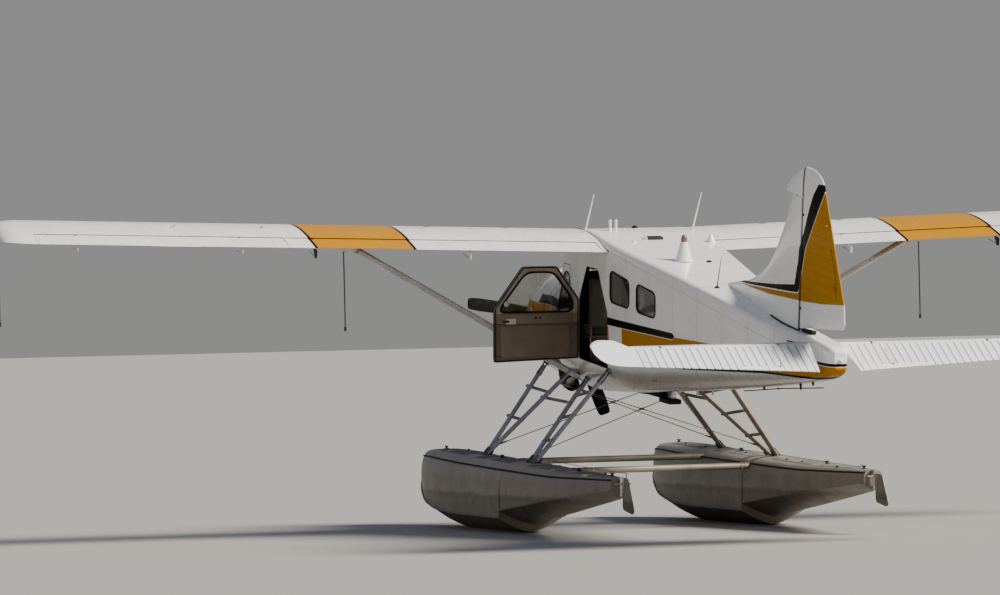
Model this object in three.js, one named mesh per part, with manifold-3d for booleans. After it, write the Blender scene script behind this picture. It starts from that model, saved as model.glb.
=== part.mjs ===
// A single-engined high-wing utility floatplane on twin floats, with its port cabin door standing open.
// Millimetres, +Z up. The nose points to -Y and the port side is +X. The floor is at z = 0, under the float
// keels, and the origin is midway between the float bows and the rudder's trailing edge.
// The airframe's own coordinates start at the propeller hub: x to port, y aft of the propeller disc along the
// thrust line, z above it. The floor's coordinates start on the floor below the propeller disc.
import * as THREE from "three";
import { mergeVertices } from "three/addons/utils/BufferGeometryUtils.js";
import Module from "manifold-3d";

const wasm = await Module();
wasm.setup();

// Driving dimensions
const halfSpan = 7315;
const chord = 1590; // constant over the whole wing
const dihedral = 1.8; // degrees
const hubHeight = 2350; // propeller hub above the float keels
const pitch = THREE.MathUtils.degToRad(5); // how far the airframe sits nose-up on its floats
const originStation = 4115; // the origin's distance aft of the propeller disc, along the floor
const propellerRadius = 1220;
const elevatorDroop = 24.5; // degrees below neutral, as it hangs when parked
const openDoorAngle = 90; // degrees, port cabin door
const wall = 40; // whole thickness of the cabin wall and of a door
const tailWall = 20; // thickness of the rear fuselage, skin and frames together
const glassThickness = 8;
const doorGap = 6; // clearance all round a moving panel
const seat = 0.3; // gap between pieces that touch
const pinSides = 8;
// The radius of a hole that a faceted pin turns in
const aroundPin = (radius) => radius / Math.cos(Math.PI / pinSides) + 0.1;

// Materials
const paint = (color, roughness = 0.35, metalness = 0.1) =>
  new THREE.MeshStandardMaterial({ color, roughness, metalness });
const white = paint(0xe9ebee);
const yellow = paint(0xe69a12);
const black = paint(0x16161a, 0.45);
const floatGrey = paint(0x9a968c, 0.5, 0.3);
const strutGrey = paint(0x6d7079, 0.45, 0.4);
const steel = paint(0x8a8d92, 0.35, 0.8);
const engineGrey = paint(0x55585c, 0.5, 0.7);
const exhaustBrown = paint(0x4a3d34, 0.7, 0.5);
const trimBrown = paint(0x5a5047, 0.8, 0);
const seatGrey = paint(0x3b3a3c, 0.85, 0);
const ropeDark = paint(0x2e2c2a, 0.95, 0);
const glass = paint(0xa9bcc4, 0.05, 0);
glass.transparent = true;
glass.opacity = 0.35;

// Solids

const V = (x, y, z) => new THREE.Vector3(x, y, z);

// A closed geometry as a manifold-3d solid, turned to face outwards.
function solidOf(geometry) {
  const loose = geometry.index ? geometry.toNonIndexed() : geometry.clone();
  loose.deleteAttribute("normal");
  loose.deleteAttribute("uv");
  const merged = mergeVertices(loose, 1e-3);
  const vertProperties = merged.attributes.position.array;
  const triVerts = new Uint32Array(merged.index.array);
  const made = new wasm.Manifold(new wasm.Mesh({ numProp: 3, vertProperties, triVerts }));
  if (made.volume() > 0) return made;
  for (let i = 0; i < triVerts.length; i += 3) [triVerts[i], triVerts[i + 1]] = [triVerts[i + 1], triVerts[i]];
  return new wasm.Manifold(new wasm.Mesh({ numProp: 3, vertProperties, triVerts }));
}

function geometryOf(solid) {
  const { vertProperties, triVerts, numProp, numVert } = solid.getMesh();
  const position = new Float32Array(numVert * 3);
  for (let i = 0; i < numVert; i++) position.set(vertProperties.subarray(i * numProp, i * numProp + 3), i * 3);
  const geometry = new THREE.BufferGeometry();
  geometry.setAttribute("position", new THREE.BufferAttribute(position, 3));
  geometry.setIndex(new THREE.BufferAttribute(new Uint32Array(triVerts), 1));
  return geometry;
}

const joined = (...solids) => solids.flat().reduce((all, one) => all.add(one));
const cut = (solid, ...tools) => tools.flat().reduce((left, tool) => left.subtract(tool), solid);
const mirrored = (solid) => solid.mirror([1, 0, 0]);
const bothSides = (solid) => [solid, mirrored(solid)];

// A skin over rings that all have the same number of points, closed by a fan over each end ring.
function loft(rings) {
  const position = [];
  const push = (...points) => points.forEach((p) => position.push(p.x, p.y, p.z));
  const count = rings[0].length;
  for (let i = 0; i + 1 < rings.length; i++) {
    for (let j = 0; j < count; j++) {
      const k = (j + 1) % count;
      push(rings[i][j], rings[i + 1][j], rings[i + 1][k]);
      push(rings[i][j], rings[i + 1][k], rings[i][k]);
    }
  }
  for (const [ring, turned] of [[rings[0], false], [rings.at(-1), true]]) {
    const middle = ring.reduce((sum, p) => sum.clone().add(p)).clone().divideScalar(count);
    for (let j = 0; j < count; j++) {
      const next = ring[(j + 1) % count];
      if (turned) push(middle, next, ring[j]);
      else push(middle, ring[j], next);
    }
  }
  const geometry = new THREE.BufferGeometry();
  geometry.setAttribute("position", new THREE.Float32BufferAttribute(position, 3));
  return solidOf(geometry);
}

function box(x0, x1, y0, y1, z0, z1) {
  const geometry = new THREE.BoxGeometry(x1 - x0, y1 - y0, z1 - z0);
  return solidOf(geometry.translate((x0 + x1) / 2, (y0 + y1) / 2, (z0 + z1) / 2));
}

// A body of revolution about the y axis. The outline lists [radius, y].
const turnedSolid = (outline, sides) =>
  solidOf(new THREE.LatheGeometry(outline.map(([radius, y]) => new THREE.Vector2(radius, y)), sides));

// A round bar between two points.
function rod(a, b, radius, sides = 10) {
  const along = b.clone().sub(a);
  const geometry = new THREE.CylinderGeometry(radius, radius, along.length(), sides);
  geometry.applyQuaternion(new THREE.Quaternion().setFromUnitVectors(V(0, 1, 0), along.clone().normalize()));
  return solidOf(geometry.translate((a.x + b.x) / 2, (a.y + b.y) / 2, (a.z + b.z) / 2));
}

const ball = (centre, radius) =>
  solidOf(new THREE.IcosahedronGeometry(radius, 1).translate(centre.x, centre.y, centre.z));

// A strut of elliptical section between two points, its wide side along the line of flight.
function fairedStrut(a, b, width, thickness, sides = 10) {
  const along = b.clone().sub(a).normalize();
  const wide = V(0, 1, 0).addScaledVector(along, -along.y).normalize();
  const thin = along.clone().cross(wide);
  const ring = (centre) =>
    Array.from({ length: sides }, (_, i) => {
      const angle = (2 * Math.PI * i) / sides;
      return centre.clone()
        .addScaledVector(wide, (Math.cos(angle) * width) / 2)
        .addScaledVector(thin, (Math.sin(angle) * thickness) / 2);
    });
  return loft([ring(a), ring(b)]);
}

// A plate from x0 to x1 whose outline is in y and z.
function sidePlate(outline, x0, x1) {
  const shape = new THREE.Shape(outline.map(([y, z]) => new THREE.Vector2(y, z)));
  const geometry = new THREE.ExtrudeGeometry(shape, { depth: x1 - x0, bevelEnabled: false });
  geometry.applyMatrix4(new THREE.Matrix4().makeBasis(V(0, 1, 0), V(0, 0, 1), V(1, 0, 0)));
  return solidOf(geometry.translate(x0, 0, 0));
}

// An outline whose corners are cut back by a straight edge.
function softened(outline, cutBack) {
  const count = outline.length;
  return outline.flatMap(([y, z], i) => {
    const corner = new THREE.Vector2(y, z);
    return [outline[(i + count - 1) % count], outline[(i + 1) % count]].map(([nextY, nextZ]) => {
      const towards = new THREE.Vector2(nextY, nextZ).sub(corner);
      const step = Math.min(cutBack, towards.length() * 0.45);
      const p = corner.clone().addScaledVector(towards.normalize(), step);
      return [p.x, p.y];
    });
  });
}

// A convex, anticlockwise outline moved inwards by a distance.
function shrunk(outline, distance) {
  const points = outline.map(([y, z]) => new THREE.Vector2(y, z));
  const inward = (from, to) => new THREE.Vector2(from.y - to.y, to.x - from.x).normalize();
  return points.map((p, i) => {
    const n1 = inward(points[(i + points.length - 1) % points.length], p);
    const n2 = inward(p, points[(i + 1) % points.length]);
    const half = n1.clone().add(n2).normalize();
    const moved = p.clone().addScaledVector(half, distance / half.dot(n1));
    return [moved.x, moved.y];
  });
}

// The scene graph: the airframe's pieces hang in a group that carries the nose-up pitch.
const part = new THREE.Group();
part.position.y = -originStation;
const airframe = new THREE.Group();
airframe.position.z = hubHeight;
airframe.rotation.x = -pitch;
part.add(airframe);

function add(group, name, solid, material) {
  const mesh = new THREE.Mesh(geometryOf(solid), material);
  mesh.name = name;
  group.add(mesh);
}
const sides = [["left", (solid) => solid], ["right", mirrored]];
const addPair = (group, name, solid, material) =>
  sides.forEach(([side, turn]) => add(group, `${name}_${side}`, turn(solid), material));

// A group whose contents, still given in the parent's coordinates, are turned about a pivot.
function turnedGroup(parent, pivot, axis, degrees) {
  const outer = new THREE.Group();
  outer.position.copy(pivot);
  outer.quaternion.setFromAxisAngle(axis, THREE.MathUtils.degToRad(degrees));
  const inner = new THREE.Group();
  inner.position.copy(pivot).negate();
  outer.add(inner);
  parent.add(outer);
  return inner;
}

// A point of the floor's coordinates, given in the airframe's, and the other way round.
const hub = V(0, 0, hubHeight);
const inAirframe = (x, y, z) => V(x, y, z).sub(hub).applyAxisAngle(V(1, 0, 0), pitch);
const pitchDegrees = THREE.MathUtils.radToDeg(pitch);
const toFloor = (solid) => solid.rotate([-pitchDegrees, 0, 0]).translate([0, 0, hubHeight]);
const toAirframe = (solid) => solid.translate([0, 0, -hubHeight]).rotate([pitchDegrees, 0, 0]);

// Fuselage
// station aft of the propeller disc, half width, top, bottom, top corner radius, bottom corner radius
const fuselageSections = [
  [1180, 600, 605, -610, 540, 590],
  [1450, 612, 625, -632, 480, 520],
  [1900, 624, 1050, -645, 80, 450],
  [2150, 632, 1140, -640, 45, 430],
  [2510, 640, 1186, -618, 45, 420],
  [2900, 638, 1160, -590, 50, 400],
  [3250, 640, 1115, -560, 60, 380],
  [3600, 625, 1068, -530, 80, 360],
  [4750, 515, 924, -410, 75, 300],
  [6200, 365, 727, -250, 60, 220],
  [7600, 200, 523, -85, 50, 130],
  [8500, 130, 465, 40, 50, 70],
  [8950, 105, 420, 140, 50, 60],
  [9040, 60, 370, 200, 30, 35],
];
const firewall = 1180;
const rearBulkhead = 4750;
const tailEnd = 9040;
const cornerSteps = 4;

function fuselageRing([station, halfWidth, top, bottom, topRadius, bottomRadius], inset = 0) {
  const corners = [
    [1, top, topRadius, -1],
    [-1, top, topRadius, -1],
    [-1, bottom, bottomRadius, 1],
    [1, bottom, bottomRadius, 1],
  ];
  return corners.flatMap(([side, level, cornerRadius, inwards], quarter) => {
    const radius = Math.max(cornerRadius - inset, 5);
    const centreX = side * (halfWidth - inset - radius);
    const centreZ = level + inwards * (inset + radius);
    return Array.from({ length: cornerSteps + 1 }, (_, i) => {
      const angle = (Math.PI / 2) * (quarter + i / cornerSteps);
      return V(centreX + radius * Math.cos(angle), station, centreZ + radius * Math.sin(angle));
    });
  });
}

// The section at any station, between two lines of the table.
function sectionAt(station) {
  const i = fuselageSections.findIndex(([listed], k) => k > 0 && listed >= station);
  const [before, after] = [fuselageSections[i - 1], fuselageSections[i]];
  const share = (station - before[0]) / (after[0] - before[0]);
  return before.map((value, k) => value + share * (after[k] - value));
}

function fuselageLoft(from, to, inset = 0) {
  const between = fuselageSections.filter(([station]) => station > from + 1 && station < to - 1);
  return loft([sectionAt(from), ...between, sectionAt(to)].map((row) => fuselageRing(row, inset)));
}

const wholeFuselage = fuselageLoft(firewall, tailEnd, -seat); // what pieces on the fuselage are cut back to

// Doors and windows, as side outlines in station and height, anticlockwise
const crewDoor = {
  outline: [[1500, -235], [2125, -245], [2125, 600], [2045, 760], [1800, 760], [1500, 300]],
  window: [[1580, 200], [2050, 200], [2050, 570], [1990, 670], [1830, 670], [1580, 290]],
  hingeStation: 1500,
  hingeHeights: [-95, 90],
};
const cabinDoor = {
  outline: [[2420, -250], [3410, -280], [3410, 330], [3080, 785], [2680, 785], [2420, 420]],
  window: [[2500, 275], [3330, 275], [3330, 335], [3040, 715], [2720, 715], [2500, 410]],
  hingeStation: 2420,
  hingeHeights: [-150, 280],
};
const windowCorner = 60;
const rearWindows = [
  [[3500, 458], [4035, 424], [4035, 722], [3500, 803]],
  [[4232, 406], [4715, 369], [4715, 640], [4232, 711]],
].map((outline) => softened(outline, windowCorner));
const windscreen = [[1500, 560], [1640, 560], [1885, 960], [1885, 1400], [1500, 1400]];
const windscreenHalfWidth = 520;

const cabinOutside = fuselageLoft(firewall, rearBulkhead);
const cabinInside = fuselageLoft(firewall + wall, rearBulkhead - wall, wall);
const cabinWall = cut(cabinOutside, cabinInside);
const cabinSkin = cut(cabinOutside, fuselageLoft(firewall, rearBulkhead, glassThickness));
const portSide = (outline) => sidePlate(outline, 250, 900);
const screenPlate = (outline, halfWidth) => sidePlate(outline, -halfWidth, halfWidth);

// Door hinges: the pin stands proud of the skin, in line with the door's front edge
const hingeProud = 14;
const knuckleRadius = 10;
const knuckleLength = 60;
const hingePinRadius = 4;
const leafLength = 50;
const hingeX = (door) => sectionAt(door.hingeStation)[1] + hingeProud;

// One knuckle and its leaf, at a height. The leaf runs to the given station.
function knuckle(door, height, leafEnd) {
  const x = hingeX(door);
  const station = door.hingeStation;
  const top = height + knuckleLength;
  const barrel = rod(V(x, station, height), V(x, station, top), knuckleRadius, pinSides);
  const leaf = box(x - hingeProud - 8, x, Math.min(leafEnd, station), Math.max(leafEnd, station), height, top);
  return joined(barrel, leaf);
}
function hingePin(door, height, radius) {
  const bottom = V(hingeX(door), door.hingeStation, height);
  return rod(bottom, bottom.clone().setZ(height + 2 * knuckleLength), radius, pinSides);
}
const fixedHinges = (door) =>
  door.hingeHeights.map((height) =>
    joined(knuckle(door, height, door.hingeStation - leafLength), hingePin(door, height, hingePinRadius)));

function doorPanel(door) {
  const panel = portSide(shrunk(door.outline, doorGap)).intersect(cabinWall);
  const knuckles = door.hingeHeights.map((height) => {
    const own = knuckle(door, height + knuckleLength + seat, door.hingeStation + leafLength);
    return cut(own, box(hingeX(door) - hingeProud - 50, hingeX(door) - hingeProud + 1,
      door.hingeStation - 1, door.hingeStation + doorGap + 1, -2000, 2000));
  });
  const holes = door.hingeHeights.map((height) => hingePin(door, height + seat, aroundPin(hingePinRadius)));
  return cut(joined(panel, knuckles), portSide(door.window), ...holes);
}
const doorGlass = (door) => portSide(shrunk(door.window, seat)).intersect(cabinSkin);

// Strut fittings on the lower corners of the fuselage, in the floor's coordinates
const fittingRadius = 26;
const socketRadius = 44;
const strutTops = {
  wing: [600, 2160, 1700],
  front: [650, 1185, 1840],
  frontDiagonal: [545, 1800, 1755],
  rearDiagonal: [560, 2420, 1665],
  rear: [640, 3430, 1745],
};
const fittingReach = { inwards: 220, upwards: 150 }; // to a point well inside the wall
const fittingRod = ([x, y, z], radius, extra = 0) =>
  rod(inAirframe(x - fittingReach.inwards, y, z + fittingReach.upwards), inAirframe(x + extra, y, z), radius);
const fittings = Object.values(strutTops).map((place) => fittingRod(place, fittingRadius));
const fittingTools = Object.values(strutTops).flatMap((place) =>
  bothSides(fittingRod(place, fittingRadius + seat, seat)));

const outsideFittings = fittings.map((fitting) => cut(fitting, cabinInside));
const portAdditions = [...outsideFittings, ...fixedHinges(crewDoor), ...fixedHinges(cabinDoor)];
const portCuts = [crewDoor.outline, cabinDoor.outline, ...rearWindows].map(portSide);
const cabinShell = joined(
  cut(cabinWall, portCuts.flatMap(bothSides), screenPlate(windscreen, windscreenHalfWidth)),
  portAdditions.flatMap(bothSides));
add(airframe, "cabin_shell", cabinShell, white);
add(airframe, "windshield",
  screenPlate(shrunk(windscreen, seat), windscreenHalfWidth - seat).intersect(cabinSkin), glass);
rearWindows.forEach((outline, i) =>
  addPair(airframe, `rear_window_${i + 1}`, portSide(shrunk(outline, seat)).intersect(cabinSkin), glass));

addPair(airframe, "crew_door", doorPanel(crewDoor), white);
addPair(airframe, "crew_door_window", doorGlass(crewDoor), glass);
add(airframe, "cabin_door_right", mirrored(doorPanel(cabinDoor)), white);
add(airframe, "cabin_door_window_right", mirrored(doorGlass(cabinDoor)), glass);
const openDoorHinge = V(hingeX(cabinDoor), cabinDoor.hingeStation, 0);
const openDoor = turnedGroup(airframe, openDoorHinge, V(0, 0, 1), -openDoorAngle);
add(openDoor, "cabin_door_left", doorPanel(cabinDoor), white);
add(openDoor, "cabin_door_window_left", doorGlass(cabinDoor), glass);

const tailStart = rearBulkhead + seat;
const rearFuselage = cut(fuselageLoft(tailStart, tailEnd), fuselageLoft(rearBulkhead - 50, 8450, tailWall));
add(airframe, "rear_fuselage", rearFuselage, white);

// Cabin fittings, cut to the inside of the cabin
const cabinSpace = fuselageLoft(firewall + wall + seat, rearBulkhead - wall - seat, wall + seat);
const floorTop = -325;
const floorThickness = 25;
const panelStations = [1340, 1470];
add(airframe, "cabin_floor",
  box(-700, 700, firewall, rearBulkhead, floorTop - floorThickness, floorTop).intersect(cabinSpace), trimBrown);
add(airframe, "instrument_panel",
  box(-700, 700, ...panelStations, 60, 470).intersect(cabinSpace), black);

// A seat: centre line x, front edge station, pan width and depth, back height
function cabinSeat(x, front, width, depth, backHeight) {
  const panTop = floorTop + 400;
  const [left, right, back] = [x + width / 2, x - width / 2, front + depth];
  const base = box(right + 60, left - 60, front + 60, back - 60, floorTop + seat, panTop - 50);
  const pan = box(right, left, front, back, panTop - 100, panTop);
  const backRest = box(right, left, back - 90, back, panTop - 50, panTop + backHeight);
  return joined(base, pan, backRest);
}
add(airframe, "pilot_seat", cabinSeat(290, 1860, 430, 450, 560), seatGrey);
add(airframe, "copilot_seat", cabinSeat(-290, 1860, 430, 450, 560), seatGrey);
add(airframe, "cabin_bench", cabinSeat(0, 3780, 860, 450, 430), seatGrey);

// Engine and cowlings
const cowlSides = 30;
const cowlOutline = [[432, 232], [452, 185], [500, 170], [560, 205], [612, 300], [636, 470], [640, 800],
  [632, 950], [620, 950], [627, 800], [624, 470], [600, 310], [540, 240], [432, 232]];
const grown = (outline) => outline.map(([radius, y]) => [radius - seat, y]);
add(airframe, "engine_cowl", turnedSolid(cowlOutline, cowlSides), yellow);

const noseFront = 860;
const noseSkin = 12;
const noseRing = (station, radius, inset) =>
  fuselageRing([station, radius, radius, -radius, radius - 15, radius - 15], inset);
const firewallRing = (station, inset) => fuselageRing([station, ...fuselageSections[0].slice(1)], inset);
const noseOutside = (inset, front, back) => loft([noseRing(front, 560, inset), firewallRing(back, inset)]);
add(airframe, "nose_cowling",
  cut(noseOutside(0, noseFront, firewall - seat), noseOutside(noseSkin, noseFront - 5, firewall + 5)), white);

const shaftRadius = 30;
const cylinderCount = 9;
const cylinderStation = 520;
const crankcase = turnedSolid([[0, -60], [shaftRadius, -60], [shaftRadius, 165], [95, 165], [110, 330], [225, 370],
  [250, 410], [250, 640], [180, 700], [180, firewall - seat], [0, firewall - seat]], 32);
// radius, distance from the crankshaft
const cylinderOutline = [[0, 200], [72, 200], [72, 420], [86, 430], [86, 555], [60, 575], [60, 626], [0, 626]];
const cylinder = turnedSolid(cylinderOutline, 10).rotate([90, 0, 0]).translate([0, cylinderStation, 0]);
const cylinders = Array.from({ length: cylinderCount }, (_, i) =>
  cylinder.rotate([0, (360 / cylinderCount) * i, 0]));
const cowlTool = turnedSolid(grown(cowlOutline), cowlSides);
add(airframe, "engine", cut(joined(crankcase, cylinders), cowlTool), engineGrey);

const exhaustRadius = 85;
const exhaustEnd = V(375, 1340, -640);
const exhaustPipe = cut(
  joined(
    rod(V(360, 1045, -400), V(370, 1100, -600), exhaustRadius),
    rod(V(370, 1075, -590), exhaustEnd, exhaustRadius)),
  rod(exhaustEnd.clone().setY(1180), exhaustEnd.clone().setY(1400), exhaustRadius - 9));
const noseTool = joined(noseOutside(-seat, noseFront, firewall), wholeFuselage);
add(airframe, "exhaust_pipe", cut(exhaustPipe, noseTool), exhaustBrown);

// Propeller
const bladeCount = 3;
const firstBladeAngle = 8.5; // degrees above the port wing, as it stopped
const ferruleEnd = 190;
const hubBack = 150;
const hubOutline = [[0, -150], [60, -140], [85, -90], [95, -60], [105, 0], [95, 60], [80, hubBack], [0, hubBack]];
const ferrule = rod(V(60, 0, 0), V(ferruleEnd, 0, 0), 62);
const bladeAngles = Array.from({ length: bladeCount }, (_, i) => -firstBladeAngle - (360 / bladeCount) * i);
const shaftHole = turnedSolid([[0, -60 - seat], [shaftRadius + seat, -60 - seat], [shaftRadius + seat, 200],
  [0, 200]], 32);
const ferrules = bladeAngles.map((angle) => ferrule.rotate([0, angle, 0]));
add(airframe, "propeller_hub", cut(joined(turnedSolid(hubOutline, 24), ferrules), shaftHole), black);

// Distance from the hub's axis, chord, thickness, blade angle in degrees
const bladeSections = [
  [ferruleEnd + seat, 92, 92, 45],
  [300, 102, 62, 42],
  [450, 122, 42, 38],
  [640, 142, 30, 33],
  [870, 156, 20, 27],
  [1050, 148, 15, 23],
  [1170, 122, 11, 21],
  [propellerRadius, 78, 7, 20],
];
const bladeRing = ([radius, width, thickness, angle]) =>
  Array.from({ length: 12 }, (_, i) => {
    const around = (2 * Math.PI * i) / 12;
    const across = (Math.cos(around) * width) / 2;
    const through = (Math.sin(around) * thickness) / 2;
    const turn = THREE.MathUtils.degToRad(angle);
    return V(radius, through * Math.cos(turn) - across * Math.sin(turn),
      across * Math.cos(turn) + through * Math.sin(turn));
  });
const blade = loft(bladeSections.map(bladeRing));
bladeAngles.forEach((angle, i) =>
  add(airframe, `propeller_blade_${i + 1}`, blade.rotate([0, angle, 0]), black));

// Hinged control surfaces. The moving surface has a round nose about the hinge line, in a round cove.
// Lugs on the fixed surface carry a pin each, in a slot of the moving one.
const lugThickness = 14;
const lugRadius = 16;
const lugPinRadius = 6;
const lugPinLength = 66;
const slotWidth = lugThickness + 2 * doorGap;

// Half a circle about the hinge, and the two corners of the trailing edge: [distance aft, distance up]
function movingProfile(radius, aft, tailHalf, tailUp = 0) {
  const nose = Array.from({ length: 7 }, (_, i) => {
    const angle = Math.PI * (0.5 + i / 6);
    return [radius * Math.cos(angle), radius * Math.sin(angle)];
  });
  return [...nose, [aft, tailUp - tailHalf], [aft, tailUp + tailHalf]];
}

// The hinge hardware at one place along a hinge line that runs along x at (y, z).
function lugAt(x, y, z, noseRadius) {
  const disc = (width, radius) => rod(V(x - width / 2, y, z), V(x + width / 2, y, z), radius, pinSides);
  const armHalf = lugRadius - 2;
  const arm = box(x - lugThickness / 2, x + lugThickness / 2, y - noseRadius - 45, y, z - armHalf, z + armHalf);
  return {
    fixed: joined(disc(lugThickness, lugRadius), arm, disc(lugPinLength, lugPinRadius)),
    slot: joined(disc(slotWidth, noseRadius + 6), disc(lugPinLength + 4, aroundPin(lugPinRadius))),
  };
}

// Wing, built flat about its chord line and then raised to its dihedral
const wingLeadingEdge = 1866;
const wingHeight = 978;
const wingRoot = 615;
const airfoil = { camber: 0.04, camberPlace: 0.4, thickness: 0.15 };
const airfoilSteps = 9;

// The aerofoil's height above the chord line at a share of the chord, on its upper (1) or lower (-1) face
function airfoilHeight(share, side) {
  const { camber, camberPlace, thickness } = airfoil;
  const half = 5 * thickness * (0.2969 * Math.sqrt(share) - 0.126 * share - 0.3516 * share ** 2
    + 0.2843 * share ** 3 - 0.1015 * share ** 4);
  const ahead = (camber / camberPlace ** 2) * (2 * camberPlace * share - share ** 2);
  const behind = (camber / (1 - camberPlace) ** 2)
    * (1 - 2 * camberPlace + 2 * camberPlace * share - share ** 2);
  return (share < camberPlace ? ahead : behind) + side * half;
}
const airfoilPoints = [1, -1].flatMap((side) =>
  Array.from({ length: airfoilSteps }, (_, i) => {
    const along = side > 0 ? i + 1 : airfoilSteps - i;
    const share = (1 - Math.cos((Math.PI * along) / airfoilSteps)) / 2;
    return [share, airfoilHeight(share, side)];
  }));
airfoilPoints.push([0, 0]);

// x, leading edge moved aft, trailing edge moved forward, share of the full thickness
const wingSections = [
  [wingRoot, 0, 0, 1],
  [6980, 0, 0, 1],
  [7130, 25, 30, 0.93],
  [7235, 95, 110, 0.75],
  [7295, 220, 260, 0.45],
  [halfSpan, 390, 480, 0.16],
];
const wingRing = ([x, leadingCut, trailingCut, fullness]) =>
  airfoilPoints.map(([share, height]) =>
    V(x, wingLeadingEdge + leadingCut + share * (chord - leadingCut - trailingCut), height * chord * fullness));
const flatWing = loft(wingSections.map(wingRing));

const wingHinge = { y: wingLeadingEdge + 1270, z: 34, nose: 44 };
const trailingEdge = wingLeadingEdge + chord;
const endGap = 8;
const wingSurfaces = {
  flap: { from: 700, to: 4180, lugs: [2160, 3890] },
  aileron: { from: 4222, to: 6950, lugs: [4700, 6500] },
};

function surfaceLoft({ from, to }, { y, z, nose }, aft, tailHalf, tailUp) {
  const profile = movingProfile(nose, aft, tailHalf, tailUp);
  return loft([from, to].map((x) => profile.map(([back, up]) => V(x, y + back, z + up))));
}

// The bay that a surface swings in, cut out of the fixed one. Its lower lip is cut back for a surface going down.
const lipCut = 26;
const surfaceBay = ({ from, to }, { y, z, nose }) => joined(
  rod(V(from - endGap, y, z), V(to + endGap, y, z), nose + doorGap, 16),
  box(from - endGap, to + endGap, y, y + 1000, z - 300, z + 300),
  box(from - endGap, to + endGap, y - lipCut, y + 1, z - 300, z));
const raised = (solid) => solid.rotate([0, -dihedral, 0]).translate([0, 0, wingHeight]);

const lugSets = Object.fromEntries(Object.entries(wingSurfaces).map(([name, { lugs }]) =>
  [name, lugs.map((x) => lugAt(x, wingHinge.y, wingHinge.z, wingHinge.nose))]));

// Tie-down blocks under the wing, where the handling ropes hang: x, and distance aft of the leading edge
const tieDowns = [[3340, 570], [7190, 640]];
const tieDownHalf = 20;
const tieDownDepth = 50;
const tieDownFloor = ([x, aft]) => {
  const fullness = x > 7000 ? 0.8 : 1;
  return airfoilHeight(aft / chord, -1) * chord * fullness - tieDownDepth;
};
const tieDownBlock = ([x, aft]) =>
  box(x - tieDownHalf, x + tieDownHalf, wingLeadingEdge + aft - tieDownHalf, wingLeadingEdge + aft + tieDownHalf,
    tieDownFloor([x, aft]), tieDownFloor([x, aft]) + tieDownDepth + 30);

const bays = Object.values(wingSurfaces).map((surface) => surfaceBay(surface, wingHinge));
const wingLugs = Object.values(lugSets).flat().map((lug) => lug.fixed);
const wing = cut(raised(joined(cut(flatWing, bays), wingLugs, tieDowns.map(tieDownBlock))), wholeFuselage);
addPair(airframe, "wing", wing, white);

for (const [name, surface] of Object.entries(wingSurfaces)) {
  const solid = surfaceLoft(surface, wingHinge, trailingEdge - wingHinge.y, 3, -wingHinge.z);
  addPair(airframe, name, raised(cut(solid, lugSets[name].map((lug) => lug.slot))), white);
}

// Wing struts
const wingStrutTop = V(3298, 2514, 3187);
const wingTool = raised(flatWing).translate([0, 0, -seat]);
const wingStrutFoot = V(...strutTops.wing);
const strutWidth = 165;
const strutThickness = 75;
const wingStrut = toAirframe(joined(
  fairedStrut(wingStrutFoot, wingStrutTop, strutWidth, strutThickness),
  ball(wingStrutFoot, socketRadius)));
addPair(airframe, "wing_strut", cut(wingStrut, wingTool, wholeFuselage, fittingTools), white);

// Tail surfaces
// share of the distance from the leading edge to the hinge, share of the greatest half thickness
const tailProfile = [[0, 0], [0.04, 0.5], [0.16, 0.82], [0.45, 1], [1, 0.82]];
const tailRing = (leading, hinge, half, place) => {
  const upper = tailProfile.map(([share, height]) => [leading + share * (hinge - leading), height * half]);
  const lower = upper.slice(1).reverse().map(([y, up]) => [y, -up]);
  return [...upper, ...lower].map(([y, up]) => place(y, up));
};

const tailHinge = { y: 8565, z: 403, nose: 30 };
const tailplaneHalf = 42;
const tailplaneFall = 0.092; // how much lower the tailplane gets for each step ahead of the hinge
// x, leading edge station, share of the thickness
const tailplaneSections = [[100, 7640, 1], [1850, 7850, 0.9], [1990, 7905, 0.8], [2040, 8000, 0.55]];
const tailLugs = [500, 1750].map((x) => lugAt(x, tailHinge.y, tailHinge.z, tailHinge.nose));
const elevatorSpan = { from: 160, to: 2040 };
const tailplane = joined(
  cut(
    loft(tailplaneSections.map(([x, leading, share]) =>
      tailRing(leading, tailHinge.y, tailplaneHalf * share,
        (y, up) => V(x, y, tailHinge.z + up - (tailHinge.y - y) * tailplaneFall)))),
    rod(V(0, tailHinge.y, tailHinge.z), V(3000, tailHinge.y, tailHinge.z), tailHinge.nose + doorGap, 16)),
  tailLugs.map((lug) => lug.fixed));
addPair(airframe, "tailplane", cut(tailplane, wholeFuselage), white);

// The elevator tapers outboard, and its tip runs forward of the hinge beyond the tailplane
const elevatorChord = { root: 535, tip: 339 };
const elevatorTip = [[2062, 8520], [2200, 8360], [2330, 8355], [2410, 8400], [2455, 8470]];
const elevatorTail = [[2062, 8908], [2200, 8894], [2330, 8858], [2410, 8775], [2455, 8630]];
const elevatorTipSolid = loft(elevatorTip.map(([x, front], i) => {
  const half = 28 - 5 * i;
  const back = elevatorTail[i][1];
  const outline = [[front, 0], [front + 40, half], [tailHinge.y, half], [back, 3], [back, -3],
    [tailHinge.y, -half], [front + 40, -half]];
  return outline.map(([y, up]) => V(x, y, tailHinge.z + up));
}));
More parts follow.
